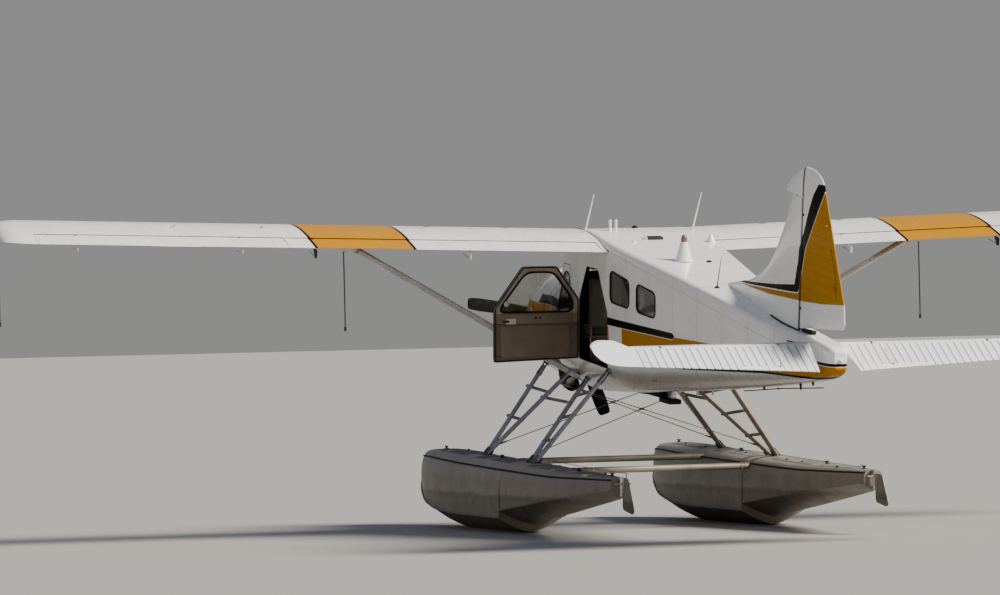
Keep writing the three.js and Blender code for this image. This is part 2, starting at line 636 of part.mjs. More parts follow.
// The inner end slants outboard towards the trailing edge, to clear the rudder
const innerSlant = 6; // degrees
const innerCut = box(-200, 0, -200, elevatorChord.root + 200, -100, 100).rotate([0, 0, -innerSlant])
  .translate([elevatorSpan.from, tailHinge.y, tailHinge.z]);
const elevatorEnds = [[elevatorSpan.from, elevatorChord.root], [elevatorSpan.to + 60, elevatorChord.tip]];
const elevatorMain = cut(
  loft(elevatorEnds.map(([x, chord]) => movingProfile(tailHinge.nose, chord, 3, 0)
    .map(([back, up]) => V(x, tailHinge.y + back, tailHinge.z + up)))),
  innerCut, tailLugs.map((lug) => lug.slot));
const elevator = joined(elevatorMain, elevatorTipSolid);
const elevators = turnedGroup(airframe, V(0, tailHinge.y, tailHinge.z), V(1, 0, 0), -elevatorDroop);
addPair(elevators, "elevator", elevator, white);

// Fin and rudder, built about the upright rudder hinge and then leant aft with it
const rudderHinge = { y: 7916, z: 512, lean: 4.02, nose: 34 };
const leant = (solid) => solid.rotate([-rudderHinge.lean, 0, 0]).translate([0, rudderHinge.y, rudderHinge.z]);
const finTop = 1345;
const finHalf = 46;
// height along the hinge, leading edge ahead of it
const finSections = [[-320, 2560], [100, 2529], [274, 1639], [492, 1103], [786, 773], [1073, 542], [finTop, 369]];
const upright = (solid) => solid.rotate([0, -90, 0]); // what was built along x now stands along z
const rudderLugs = [220, 1180].map((height) => lugAt(height, 0, 0, rudderHinge.nose));
const finRaw = loft(finSections.map(([height, ahead]) =>
  tailRing(-ahead, 0, finHalf * (height > 1000 ? 0.9 : 1), (y, up) => V(up, y, height))));
const fin = joined(
  cut(finRaw, rod(V(0, 0, -600), V(0, 0, 2000), rudderHinge.nose + doorGap, 16)),
  rudderLugs.map((lug) => upright(lug.fixed)));
add(airframe, "fin", cut(leant(fin), wholeFuselage), white);

const hornBottom = finTop + 14;
const rudderOutline = [[-40, 20], [0, 20], [1237, 176], [1198, 423], [524, 1541], [221, 1666], [-33, 1666],
  [-40, 1500]];
const hornOutline = [[-602, hornBottom], [600, hornBottom], [524, 1541], [221, 1666], [-33, 1666], [-330, 1570]];
const rudderLine = { y: 0, z: 0, nose: rudderHinge.nose };
const rudderWedge = upright(surfaceLoft({ from: 0, to: 1700 }, rudderLine, 1240, 4, 0));
const hornBlock = loft([hornBottom, 1540, 1666].map((height, i) => {
  const half = rudderHinge.nose - 8 * i;
  const front = [-602, -380, -60][i];
  const outline = [[front, 0], [front + 70, half * 0.8], [0, half], [1240, 4], [1240, -4], [0, -half],
    [front + 70, -half * 0.8]];
  return outline.map(([y, x]) => V(x, y, height));
}));
const rudder = joined(
  cut(rudderWedge.intersect(sidePlate(rudderOutline, -80, 80)), rudderLugs.map((lug) => upright(lug.slot))),
  hornBlock.intersect(sidePlate(hornOutline, -80, 80)));
add(airframe, "rudder", leant(rudder), yellow);

// Floats, in the floor's coordinates
const floatX = 1400;
// station, half beam, keel, chine, deck edge, deck crown
const forebody = [
  [-950, 30, 640, 680, 745, 762],
  [-870, 115, 480, 590, 785, 830],
  [-600, 225, 280, 440, 800, 868],
  [-100, 325, 90, 290, 800, 876],
  [500, 372, 0, 215, 780, 860],
  [1200, 380, 0, 185, 752, 830],
  [2950, 380, 0, 175, 698, 770],
];
const afterbody = [
  [2950, 372, 95, 255, 698, 770],
  [4500, 300, 255, 395, 650, 712],
  [6120, 105, 440, 530, 640, 668],
];
// The ring's points from the chine up: share of the half beam, two levels, share of the way between them
const floatShape = [
  [1, "chine", "edge", 0],
  [0.98, "chine", "edge", 0.5],
  [0.8, "chine", "edge", 1],
  [0.45, "edge", "crown", 0.85],
];
function floatRing([station, half, keel, chine, edge, crown]) {
  const levels = { chine, edge, crown };
  const side = floatShape.map(([share, low, high, up]) =>
    [half * share, levels[low] + up * (levels[high] - levels[low])]);
  const otherSide = side.map(([x, z]) => [-x, z]).reverse();
  return [[0, keel], ...side, [0, crown], ...otherSide].map(([x, z]) => V(floatX + x, station, z));
}
const cleatStations = [-300, 1900, 4700];
const deckAt = (station) => {
  const rows = [...forebody, ...afterbody.slice(1)];
  const i = rows.findIndex(([listed]) => listed >= station);
  const [before, after] = [rows[i - 1], rows[i]];
  return before[5] + ((station - before[0]) / (after[0] - before[0])) * (after[5] - before[5]);
};
const cleatHeight = 45;
const cleats = cleatStations.map((station) =>
  box(floatX - 35, floatX + 35, station - 70, station + 70, deckAt(station) - 30, deckAt(station) + cleatHeight));

// Water rudders: two lugs on the stern carry the pin, and the blade's knuckle turns between them
const sternEnd = 6120;
const waterRudderAxis = V(floatX, sternEnd + 45, 0);
const lugLevels = [[470, 500], [640, 670]];
const waterLug = ([bottom, top]) => joined(
  box(floatX - 22, floatX + 22, sternEnd - 40, waterRudderAxis.y, bottom, top),
  rod(waterRudderAxis.clone().setZ(bottom), waterRudderAxis.clone().setZ(top), 22));
const waterPinRadius = 8;
const waterPinAt = (bottom, top, radius, sides = pinSides) =>
  rod(waterRudderAxis.clone().setZ(bottom), waterRudderAxis.clone().setZ(top), radius, sides);
const waterPin = waterPinAt(480, 660, waterPinRadius);
const floatBody = loft(forebody.map(floatRing)).add(loft([...afterbody.slice(0, 1).map((row) =>
  [row[0] - 200, ...row.slice(1)]), ...afterbody].map(floatRing)));
const float = joined(floatBody, cleats, lugLevels.map(waterLug), waterPin);
addPair(part, "float", float, floatGrey);

const [lowerLug, upperLug] = lugLevels;
const knuckleSpan = [lowerLug[1] + seat, upperLug[0] - seat];
const waterBlade = sidePlate([[6195, 330], [6520, 285], [6570, 320], [6400, 625], [6195, 632]],
  floatX - 6, floatX + 6);
const waterKnuckle = waterPinAt(...knuckleSpan, 20, 10);
const bladeArm = box(floatX - 6, floatX + 6, waterRudderAxis.y, 6220, knuckleSpan[0] + 10, knuckleSpan[1] - 10);
const waterHole = waterPinAt(400, 800, aroundPin(waterPinRadius));
addPair(part, "water_rudder", cut(joined(waterBlade, waterKnuckle, bladeArm), waterHole), steel);

// Float undercarriage
const bars = { front: [1400, 745], rear: [3050, 665] }; // station, height
const barRadius = 37;
const floatToolIn = joined(bothSides(floatBody.translate([-seat, 0, 0])));
for (const [place, [y, z]] of Object.entries(bars)) {
  const bar = rod(V(-floatX + 150, y, z), V(floatX - 150, y, z), barRadius);
  add(part, `spreader_bar_${place}`, cut(bar, floatToolIn), strutGrey);
}

const floatToolUp = joined(floatBody, cleats).translate([0, 0, seat]);
const fuselageInFloorFrame = toFloor(wholeFuselage);
const fittingToolsInFloorFrame = fittingTools.map(toFloor);
// The feet and tops of each leg's two struts, and how far up the struts its rungs are
const legs = {
  front: {
    feet: [V(floatX, 1250, 820), V(floatX, 1250, 820)],
    tops: [V(...strutTops.front), V(...strutTops.frontDiagonal)],
    rungs: [0.42, 0.74],
  },
  rear: {
    feet: [V(floatX, 2930, 760), V(floatX, 3100, 760)],
    tops: [V(...strutTops.rearDiagonal), V(...strutTops.rear)],
    rungs: [0.26, 0.53, 0.79],
  },
};
const legWidth = 110;
const legThickness = 48;
const rungRadius = 16;
const rungOverhang = 75; // beyond the forward strut
const padHalf = 60;
const alongLeg = ({ feet, tops }, strut, share) => feet[strut].clone().lerp(tops[strut], share);
function rungBetween(a, b, radius) {
  const outwards = a.clone().sub(b).setLength(rungOverhang);
  return rod(a.clone().add(outwards), b, radius, 6);
}
function legPair(leg, extra = 0) {
  const { feet, tops, rungs } = leg;
  const struts = tops.map((top, i) => fairedStrut(feet[i], top, legWidth + extra, legThickness + extra));
  const steps = rungs.map((share) =>
    rungBetween(alongLeg(leg, 0, share), alongLeg(leg, 1, share), rungRadius + extra));
  const [{ x, y: front, z }, { y: back }] = feet;
  const pad = box(x - padHalf, x + padHalf, front - padHalf - 20, back + padHalf + 20, z - 60, z + 40);
  return joined(struts, steps, pad, tops.map((top) => ball(top, socketRadius + extra)));
}
// One long step runs from the front leg's diagonal to the rear leg's
const longStep = rungBetween(alongLeg(legs.front, 1, 0.68), alongLeg(legs.rear, 0, 0.71), rungRadius);
const legSolids = {
  front: cut(joined(legPair(legs.front), longStep), legPair(legs.rear, 2 * seat)),
  rear: legPair(legs.rear),
};
for (const [place, solid] of Object.entries(legSolids)) {
  addPair(part, `float_struts_${place}`,
    cut(solid, floatToolUp, fuselageInFloorFrame, fittingToolsInFloorFrame), strutGrey);
}

// Crossed bracing wires, each from the foot of one diagonal to near the top of the opposite one
const braces = {
  front: { leg: legs.front, strut: 1, low: 0.12, high: 0.85 },
  rear: { leg: legs.rear, strut: 0, low: 0.12, high: 0.87 },
};
const wireRadius = 5;
for (const [place, { leg, strut, low, high }] of Object.entries(braces)) {
  const [start, end] = [low, high].map((share) => alongLeg(leg, strut, share));
  const opposite = end.clone().setX(-end.x);
  const middle = start.clone().lerp(opposite, start.x / (start.x + end.x));
  const wire = rod(start, opposite, wireRadius, 6);
  const tools = [...bothSides(legPair(leg, 2 * seat)), fuselageInFloorFrame, ...fittingToolsInFloorFrame];
  add(part, `brace_wires_${place}`, cut(joined(bothSides(wire), ball(middle, 26)), tools), steel);
}

// Handling ropes that hang from the tie-down blocks
const ropeRadius = 7;
const ropeLength = 860;
const ropeDrop = 1.2; // clears the tilted underside of its block
tieDowns.forEach((place, i) => {
  const [x, aft] = place;
  const turn = THREE.MathUtils.degToRad(dihedral);
  const flat = V(x, wingLeadingEdge + aft, tieDownFloor(place));
  const inAir = V(flat.x * Math.cos(turn) - flat.z * Math.sin(turn), flat.y,
    flat.x * Math.sin(turn) + flat.z * Math.cos(turn) + wingHeight);
  const top = inAir.applyAxisAngle(V(1, 0, 0), -pitch).add(hub);
  const start = top.clone().setZ(top.z - ropeDrop);
  const path = new THREE.CatmullRomCurve3([start, start.clone().setZ(start.z - ropeLength / 2),
    start.clone().setZ(start.z - ropeLength)]);
  const ring = new THREE.Shape(Array.from({ length: 8 }, (_, k) => new THREE.Vector2(
    ropeRadius * Math.cos((Math.PI * k) / 4), ropeRadius * Math.sin((Math.PI * k) / 4))));
  const tube = new THREE.ExtrudeGeometry(ring, { extrudePath: path, steps: 20 });
  addPair(part, `handling_rope_${i + 1}`, solidOf(tube), ropeDark);
});

export default part;
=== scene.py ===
"""Looks of a twin-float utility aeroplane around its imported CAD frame.

Row frame: metres, +Z up, nose to -Y, port side to +X. Most pieces are drawn in one of two other frames:
  AIR    station aft of the propeller disc along the thrust line, height above it (the airframe sits nose-up)
  FLOOR  station aft of the propeller disc along the floor, height above the floor
"""

import math
from math import cos, pi, radians, sin

import bmesh
import bpy
import numpy as np
from mathutils import Matrix, Vector


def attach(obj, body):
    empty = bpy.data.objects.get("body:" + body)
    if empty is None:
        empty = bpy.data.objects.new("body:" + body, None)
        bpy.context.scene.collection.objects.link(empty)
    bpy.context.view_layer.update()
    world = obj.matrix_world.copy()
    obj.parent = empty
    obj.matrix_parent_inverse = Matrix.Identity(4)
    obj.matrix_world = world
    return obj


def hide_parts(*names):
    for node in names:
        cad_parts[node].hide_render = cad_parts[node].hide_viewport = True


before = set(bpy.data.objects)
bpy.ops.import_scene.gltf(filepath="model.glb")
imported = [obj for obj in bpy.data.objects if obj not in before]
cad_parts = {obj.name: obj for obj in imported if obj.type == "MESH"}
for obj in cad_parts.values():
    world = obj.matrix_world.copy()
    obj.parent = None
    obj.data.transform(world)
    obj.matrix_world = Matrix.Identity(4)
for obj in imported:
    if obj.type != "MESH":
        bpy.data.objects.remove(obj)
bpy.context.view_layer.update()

PITCH = radians(5)
ORIGIN_STATION = 4.115
HUB_HEIGHT = 2.35
FLOAT_X = 1.4
FLOOR = Matrix.Translation((0, -ORIGIN_STATION, 0))
AIR = Matrix.Translation((0, -ORIGIN_STATION, HUB_HEIGHT)) @ Matrix.Rotation(-PITCH, 4, "X")
V = Vector


# ---------------------------------------------------------------- curves and tables

def monotone(xs, ys, x):
    """A smooth curve through a table that never overshoots it."""
    xs, ys, x = (np.asarray(values, float) for values in (xs, ys, x))
    steps = np.diff(xs)
    slopes = np.diff(ys) / steps
    tangents = np.zeros(len(xs))
    tangents[0], tangents[-1] = slopes[0], slopes[-1]
    for i in range(1, len(xs) - 1):
        before, after = slopes[i - 1], slopes[i]
        if before * after > 0:
            w1, w2 = 2 * steps[i] + steps[i - 1], steps[i] + 2 * steps[i - 1]
            tangents[i] = (w1 + w2) / (w1 / before + w2 / after)
    i = np.clip(np.searchsorted(xs, x) - 1, 0, len(xs) - 2)
    t = (x - xs[i]) / steps[i]
    return ((1 + 2 * t) * (1 - t) ** 2 * ys[i] + t * (1 - t) ** 2 * steps[i] * tangents[i]
            + t * t * (3 - 2 * t) * ys[i + 1] + t * t * (t - 1) * steps[i] * tangents[i + 1])


def table_row(table, at):
    """Every column of a table, smoothly interpolated at one value of its first column."""
    columns = list(zip(*table))
    return [float(monotone(columns[0], column, at)) for column in columns[1:]]


def straight_row(table, at):
    """The same along straight lines."""
    columns = list(zip(*table))
    return [float(np.interp(at, columns[0], column)) for column in columns[1:]]


def smooth(table, at):
    """The second column of a two-column table, smoothly interpolated."""
    return table_row(table, at)[0]


def spaced(low, high, step):
    """Numbers from low to high, about a step apart."""
    return list(np.linspace(low, high, max(2, int(round((high - low) / step)) + 1)))


def around(count):
    """Angles that divide a full turn."""
    return np.linspace(0, 2 * pi, count + 1)[:-1]


def circle(count):
    """Angles of a full turn, with the first again at the end."""
    return np.linspace(0, 2 * pi, count + 1)


def lift(z):
    return V((0, 0, z))


def rounded(outline, radius, steps=5):
    """A closed outline of (a, b) points with its corners rounded."""
    points = []
    for i, here in enumerate(outline):
        here = V(here)
        ends = []
        for other in (outline[i - 1], outline[(i + 1) % len(outline)]):
            towards = V(other) - here
            ends.append(here + towards.normalized() * min(radius, towards.length * 0.45))
        for k in range(steps + 1):
            t = k / steps
            points.append(ends[0] * (1 - t) ** 2 + here * 2 * t * (1 - t) + ends[1] * t * t)
    return [tuple(p) for p in points]


def shrunk(outline, distance):
    """A convex, anticlockwise outline moved inwards."""
    moved = []
    count = len(outline)
    for i in range(count):
        p, q, r = (V(outline[(i + k) % count]) for k in (-1, 0, 1))
        n1 = V((p.y - q.y, q.x - p.x)).normalized()
        n2 = V((q.y - r.y, r.x - q.x)).normalized()
        half = (n1 + n2).normalized()
        moved.append(tuple(q + half * (distance / half.dot(n1))))
    return moved


# ---------------------------------------------------------------- shapes

class Shape:
    """Points and faces of one piece. Each face keeps the place of its material in the piece's list."""

    def __init__(self, turned_out=False):
        self.points, self.faces, self.kinds = [], [], []
        self.turned_out = turned_out  # its faces already face outwards, cavities included

    def add(self, points, faces, kind=0):
        first = len(self.points)
        self.points += [V(p) for p in points]
        self.faces += [tuple(first + i for i in face) for face in faces]
        self.kinds += [kind] * len(faces)
        return self

    def merge(self, other, turn=Matrix.Identity(4), kind=None):
        self.add([turn @ p for p in other.points], other.faces)
        self.kinds[-len(other.faces):] = other.kinds if kind is None else [kind] * len(other.faces)
        return self

    def recolour(self, test, kind):
        """Gives another material to the faces whose middle passes the test."""
        for i, face in enumerate(self.faces):
            if test(sum((self.points[k] for k in face), V((0, 0, 0))) / len(face)):
                self.kinds[i] = kind
        return self

    def mirrored(self):
        other = Shape()
        other.add([(-p.x, p.y, p.z) for p in self.points], [face[::-1] for face in self.faces])
        other.kinds = list(self.kinds)
        return other

    def both(self):
        return self.merge(self.mirrored())

    def loft(self, rings, kind=0, ends=True):
        """A skin over closed rings that have the same number of points."""
        count = len(rings[0])
        faces = [(i * count + j, i * count + (j + 1) % count, (i + 1) * count + (j + 1) % count,
                  (i + 1) * count + j) for i in range(len(rings) - 1) for j in range(count)]
        if ends:
            last = (len(rings) - 1) * count
            faces += [tuple(range(count))[::-1], tuple(range(last, last + count))]
        return self.add([p for ring in rings for p in ring], faces, kind)

    def tube(self, path, radius, kind=0, sides=12, flat=1.0, up=V((0, 0, 1))):
        """A round or flattened bar along a path. The radius may be one number or one a point."""
        path = [V(p) for p in path]
        radii = radius if hasattr(radius, "__len__") else [radius] * len(path)
        rings = []
        for i, centre in enumerate(path):
            along = (path[min(i + 1, len(path) - 1)] - path[max(i - 1, 0)]).normalized()
            side = along.cross(up if abs(along.dot(up)) < 0.95 else V((1, 0, 0))).normalized()
            other = side.cross(along)
            rings.append([centre + side * (radii[i] * cos(2 * pi * k / sides))
                          + other * (radii[i] * flat * sin(2 * pi * k / sides)) for k in range(sides)])
        return self.loft(rings, kind)

    def lathe(self, outline, kind=0, sides=48, origin=(0, 0, 0), axis=(0, 1, 0)):
        """A body of revolution. The outline lists (radius, distance along the axis)."""
        turn = V((0, 0, 1)).rotation_difference(V(axis)).to_matrix()
        rings = [[V(origin) + turn @ V((max(r, 1e-4) * cos(2 * pi * k / sides),
                                        max(r, 1e-4) * sin(2 * pi * k / sides), along))
                  for k in range(sides)] for r, along in outline]
        return self.loft(rings, kind)

    def box(self, low, high, kind=0, edge=0.0, turn=Matrix.Identity(4)):
        """A block with softened edges."""
        low, high = V(low), V(high)
        middle, half = (low + high) / 2, (high - low) / 2
        bm = bmesh.new()
        bmesh.ops.create_cube(bm, size=2, matrix=turn @ Matrix.Translation(middle) @ Matrix.Diagonal((*half, 1)))
        edge = min(edge, min(half) * 0.9)
        if edge > 0:
            bmesh.ops.bevel(bm, geom=bm.edges[:], offset=edge, segments=3, profile=0.5, affect="EDGES")
        bm.verts.index_update()
        self.add([v.co for v in bm.verts], [[v.index for v in f.verts] for f in bm.faces], kind)
        bm.free()
        return self

    def plate(self, outline, x0, x1, kind=0, edge=0.0):
        """A plate across x whose outline is in station and height."""
        if edge <= 0:
            return self.loft([[V((x, *p)) for p in outline] for x in (x0, x1)], kind)
        smaller = shrunk(outline, edge)
        rings = [(x0, smaller), (x0 + edge * 0.3, shrunk(outline, edge * 0.3)), (x0 + edge, outline),
                 (x1 - edge, outline), (x1 - edge * 0.3, shrunk(outline, edge * 0.3)), (x1, smaller)]
        return self.loft([[V((x, *p)) for p in points] for x, points in rings], kind)

    def dome(self, centre, radius, height, kind=0, axis=(0, 0, 1), sides=24):
        outline = [(radius * cos(a), height * sin(a)) for a in np.linspace(0, pi / 2, 7)]
        return self.lathe([(radius, -0.004), *outline], kind, sides, centre, axis)

    def bolt(self, centre, axis, radius=0.008, height=0.006, kind=0):
        return self.lathe([(radius, -0.002), (radius, height * 0.7), (radius * 0.8, height)], kind, 6, centre, axis)


def piece(name, shape, materials, body, place=AIR, node=(), slot=None, sharp=35, at=None):
    """One named piece of the part, riding on a body and standing for the CAD nodes named."""
    mesh = bpy.data.meshes.new(name)
    mesh.from_pydata([place @ p for p in shape.points], [], shape.faces)
    for material in materials:
        mesh.materials.append(material)
    mesh.polygons.foreach_set("material_index", shape.kinds)
    bm = bmesh.new()
    bm.from_mesh(mesh)
    bmesh.ops.remove_doubles(bm, verts=bm.verts[:], dist=1e-5)
    bmesh.ops.recalc_face_normals(bm, faces=bm.faces[:])
    bm.to_mesh(mesh)
    bm.free()
    return placed(bpy.data.objects.new(name, mesh), body, node, sharp, at)


def placed(obj, body, node=(), sharp=35, at=None):
    obj.data.shade_smooth()
    obj.data.set_sharp_from_angle(angle=radians(sharp))
    if obj.name not in bpy.context.scene.collection.objects:
        bpy.context.scene.collection.objects.link(obj)
    if at is not None:
        obj.matrix_world = at
    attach(obj, body)
    if node:
        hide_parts(*([node] if isinstance(node, str) else node))
    return obj


def pair(name, shape, materials, bodies, place=AIR, node=None, **options):
    """The same piece on both sides. bodies and node hold {} where the side's name goes."""
    return [piece(f"{name}_{side}", one, materials, bodies.format(side), place,
                  node.format(side) if node else (), **options)
            for side, one in (("left", shape), ("right", shape.mirrored()))]


# ---------------------------------------------------------------- materials

class Field:
    """A number that varies over a surface. Arithmetic on it adds nodes to its material."""

    def __init__(self, tree, socket):
        self.tree, self.socket = tree, socket

    def _apply(self, operation, *values, clamp=False):
        node = self.tree.nodes.new("ShaderNodeMath")
        node.operation = operation
        node.use_clamp = clamp
        for place, value in zip(node.inputs, values):
            if isinstance(value, Field):
                self.tree.links.new(value.socket, place)
            else:
                place.default_value = value
        return Field(self.tree, node.outputs[0])

    def __add__(self, other): return self._apply("ADD", self, other)
    def __sub__(self, other): return self._apply("SUBTRACT", self, other)
    def __rsub__(self, other): return self._apply("SUBTRACT", other, self)
    def __mul__(self, other): return self._apply("MULTIPLY", self, other)
    def __truediv__(self, other): return self._apply("DIVIDE", self, other)
    __radd__, __rmul__ = __add__, __mul__

    def size(self): return self._apply("ABSOLUTE", self)
    def least(self, other): return self._apply("MINIMUM", self, other)
    def most(self, other): return self._apply("MAXIMUM", self, other)
    def power(self, other): return self._apply("POWER", self, other)

    def above(self, edge, soft=0.003):
        """1 where the field is over the edge, 0 where it is under."""
        return self._apply("ADD", (self - edge) / soft, 0.5, clamp=True)

    def below(self, edge, soft=0.003):
        return 1 - self.above(edge, soft)

    def between(self, low, high, soft=0.003):
        return self.above(low, soft) * self.below(high, soft)

    def near(self, spacing, shift=0.0):
        """The distance to the nearest multiple of the spacing."""
        wrapped = self._apply("WRAP", self - shift + spacing / 2, spacing, 0.0)
        return (wrapped - spacing / 2).size()

    def curve(self, points):
        """A curve of straight lines through (value, result) points."""
        (x0, _), (x1, _) = points[0], points[-1]
        results = [y for _, y in points]
        y0, y1 = min(results), max(results)
        node = self.tree.nodes.new("ShaderNodeFloatCurve")
        line = node.mapping.curves[0]
        for i, (x, y) in enumerate(points):
            place = ((x - x0) / (x1 - x0), (y - y0) / (y1 - y0))
            if i in (0, len(points) - 1):
                line.points[0 if i == 0 else -1].location = place
            else:
                line.points.new(*place)
        for point in line.points:
            point.handle_type = "VECTOR"
        node.mapping.update()
        self.tree.links.new(((self - x0) / (x1 - x0)).socket, node.inputs["Value"])
        return Field(self.tree, node.outputs[0]) * (y1 - y0) + y0


def rivets(across, along, spacing, pitch, radius):
    """Dots in rows: the rows are spacing apart across, the dots pitch apart along."""
    a, b = across.near(spacing), along.near(pitch)
    return (a * a + b * b).power(0.5).below(radius, 0.002)


class Surface:
    """A material under construction, with fields for the place on it."""

    def __init__(self, name, colour, roughness=0.4, metallic=0.0, **inputs):
        self.material = bpy.data.materials.new(name)
        self.material.use_nodes = True
        self.tree = self.material.node_tree
        self.shader = self.tree.nodes["Principled BSDF"]
        for socket, value in {"Roughness": roughness, "Metallic": metallic, **inputs}.items():
            self.shader.inputs[socket].default_value = value
        self.now = self.rgb(colour)
        coordinates = self.tree.nodes.new("ShaderNodeTexCoord")
        self.place = coordinates.outputs["Object"]
        parts = self.tree.nodes.new("ShaderNodeSeparateXYZ")
        self.tree.links.new(self.place, parts.inputs[0])
        self.x, self.y, self.z = (Field(self.tree, parts.outputs[i]) for i in range(3))
        along, high = self.y + ORIGIN_STATION, self.z - HUB_HEIGHT
        self.station = along * cos(PITCH) - high * sin(PITCH)
        self.height = along * sin(PITCH) + high * cos(PITCH)
        self.bumps = None

    def rgb(self, colour):
        node = self.tree.nodes.new("ShaderNodeRGB")
        node.outputs[0].default_value = (*colour, 1)
        return node.outputs[0]

    def over(self, mask, colour, strength=1.0):
        """Lays a colour over what is there, where the mask is 1."""
        node = self.tree.nodes.new("ShaderNodeMix")
        node.data_type = "RGBA"
        self.tree.links.new((mask * strength).socket, node.inputs[0])
        self.tree.links.new(self.now, node.inputs[6])
        self.tree.links.new(self.rgb(colour), node.inputs[7])
        self.now = node.outputs[2]
        return self

    def noise(self, scale, detail=4, stretch=(1, 1, 1), roughness=0.55):
        mapping = self.tree.nodes.new("ShaderNodeMapping")
        mapping.inputs["Scale"].default_value = stretch
        self.tree.links.new(self.place, mapping.inputs["Vector"])
        node = self.tree.nodes.new("ShaderNodeTexNoise")
        node.inputs["Scale"].default_value = scale
        node.inputs["Detail"].default_value = detail
        node.inputs["Roughness"].default_value = roughness
        self.tree.links.new(mapping.outputs[0], node.inputs["Vector"])
        return Field(self.tree, node.outputs[0])

    def rough(self, field):
        self.tree.links.new(field.socket, self.shader.inputs["Roughness"])
        return self

    def dull(self, mask, amount):
        """Takes gloss away where the mask is 1."""
        for name in ("Coat Weight", "Specular IOR Level"):
            full = self.shader.inputs[name].default_value
            kept = (mask * -amount + 1.0) * full
            self.tree.links.new(kept.socket, self.shader.inputs[name])
        return self

    def bump(self, field, distance, strength=1.0):
        node = self.tree.nodes.new("ShaderNodeBump")
        node.inputs["Distance"].default_value = distance
        node.inputs["Strength"].default_value = strength
        self.tree.links.new(field.socket, node.inputs["Height"])
        if self.bumps is not None:
            self.tree.links.new(self.bumps, node.inputs["Normal"])
        self.bumps = node.outputs[0]
        return self

    def riveted(self, a, b, rows_a, rows_b, pitch, depth, radius=0.0035):
        """Rivets in rows both ways over two fields, each row's distance to the next given."""
        return self.bump(rivets(a, b, rows_a, pitch, radius).most(rivets(b, a, rows_b, pitch, radius)), depth)

    def finish(self):
        self.tree.links.new(self.now, self.shader.inputs["Base Color"])
        if self.bumps is not None:
            self.tree.links.new(self.bumps, self.shader.inputs["Normal"])
        return self.material


WHITE = (0.78, 0.78, 0.77)
YELLOW = (0.38, 0.168, 0.0)
BLACK = (0.002, 0.002, 0.002)
GRIME = (0.20, 0.165, 0.12)


def painted(name, colour=WHITE, roughness=0.27, grime=0.35, wavy=0.0012):
    """Aircraft paint over sheet metal: slightly wavy, a little dirty, with a clear gloss."""
    surface = Surface(name, colour, roughness, **{"Coat Weight": 0.35, "Coat Roughness": 0.06})
    blotch = surface.noise(2.2, 5)
    surface.grime = blotch.between(0.52, 0.9, 0.3) * grime
    surface.rough(surface.noise(5, 3) * 0.16 + (roughness - 0.08))
    surface.bump(surface.noise(3.1, 1, (1, 0.55, 1)), wavy * 6, 0.5)
    return surface


def plain(name, colour, roughness=0.5, metallic=0.0, wear=None, grain=60, grain_depth=0.0006, **inputs):
    """A surface with fine grain and worn or dirty patches."""
    surface = Surface(name, colour, roughness, metallic, **inputs)
    patches = surface.noise(4, 6).between(0.5, 1.0, 0.25)
    surface.over(patches, wear or tuple(0.55 * c for c in colour), 0.6)
    surface.rough(surface.noise(11, 4) * 0.22 + (roughness - 0.11))
    surface.bump(surface.noise(grain, 4), grain_depth)
    return surface.finish()


def stripes(surface):
    """The side bands of the fuselage: a black line over yellow, ended by a dark line above the white belly."""
    station, height = surface.station, surface.height
    middle = station.curve([(0.0, 0.30), (3.4, 0.245), (5.17, 0.217), (9.2, 0.243)])
    half = station.curve([(0.0, 0.05), (3.4, 0.042), (5.17, 0.034), (5.19, 0.0), (8.2, 0.0), (8.3, 0.015),
                          (9.2, 0.015)])
    lower = station.curve([(0.0, -0.20), (3.4, -0.16), (5.4, -0.10), (7.3, 0.025), (8.6, 0.072), (9.2, 0.13)])
    gap = (station - (height - 0.08) * -0.12).between(3.46, 3.84)
    yellow = height.above(lower) * height.below(middle - half - 0.006) * (1 - gap)
    line = (height - middle).size().below(half) * station.above(0.75)
    line = line.most((height - lower).size().below(0.012) * station.above(5.2, 0.4))
    surface.over(yellow, YELLOW)
    surface.over(line, BLACK)
    return surface.dull(line.most(yellow), 0.95)


def fuselage_paint():
    """White sheet with seams and rivets, side bands, and a belly darkened by painted shade with dirty patches on it.
    """
    surface = painted("fuselage_paint", grime=0.25, wavy=0.0018)
    station, height = surface.station, surface.height
    surface.over(surface.grime, GRIME, 0.45)
    seams = station.near(0.61, 0.28).below(0.0022) * station.above(2.3)
    seams = seams.most((height - (1.02 - (station - 3.4) * 0.158)).size().below(0.002) * station.above(3.3))
    surface.over(seams, (0.16, 0.155, 0.15), 0.75)
    # Painted shade: darker towards the belly, where little light reaches; the noisy patches laid over it next are
    # dirt.
    belly = station.curve([(1.0, -0.30), (2.9, -0.28), (4.75, -0.14), (6.2, -0.03), (7.6, 0.04), (9.2, 0.12)])
    low = (height - belly).below(0.0, 0.34)
    surface.over(low, (0.19, 0.168, 0.142), 0.85)
    surface.over(low * surface.noise(2, 4, (1, 0.5, 1)).between(0.4, 1, 0.4), GRIME, 0.3)
    stripes(surface)
    surface.riveted(station, height, 0.305, 0.24, 0.032, 0.0012)
    surface.bump(seams, -0.002)
    return surface.finish()


def wing_paint():
    """White, with a yellow band between two black lines on each wing."""
    surface = painted("wing_paint", grime=0.2)
    x, station = surface.x.size(), surface.station
    surface.over(surface.noise(7, 6, (1, 0.15, 1)).between(0.5, 1, 0.3), GRIME, 0.12)
    surface.over(surface.grime, GRIME, 0.3)
    inner, outer = 2.82, 3.92
    band = x.between(inner, outer)
    edges = (x - inner).size().least((x - outer).size()).below(0.017)
    surface.over(band, YELLOW)
    surface.over(edges, BLACK)
    surface.dull(band.most(edges), 0.9)
    seams = x.near(1.22, 0.7).below(0.002).most((station - 2.52).size().below(0.002))
    surface.over(seams, (0.2, 0.2, 0.2), 0.7)
    surface.riveted(x, station, 0.305, 0.4, 0.03, 0.0011)
    return surface.finish()


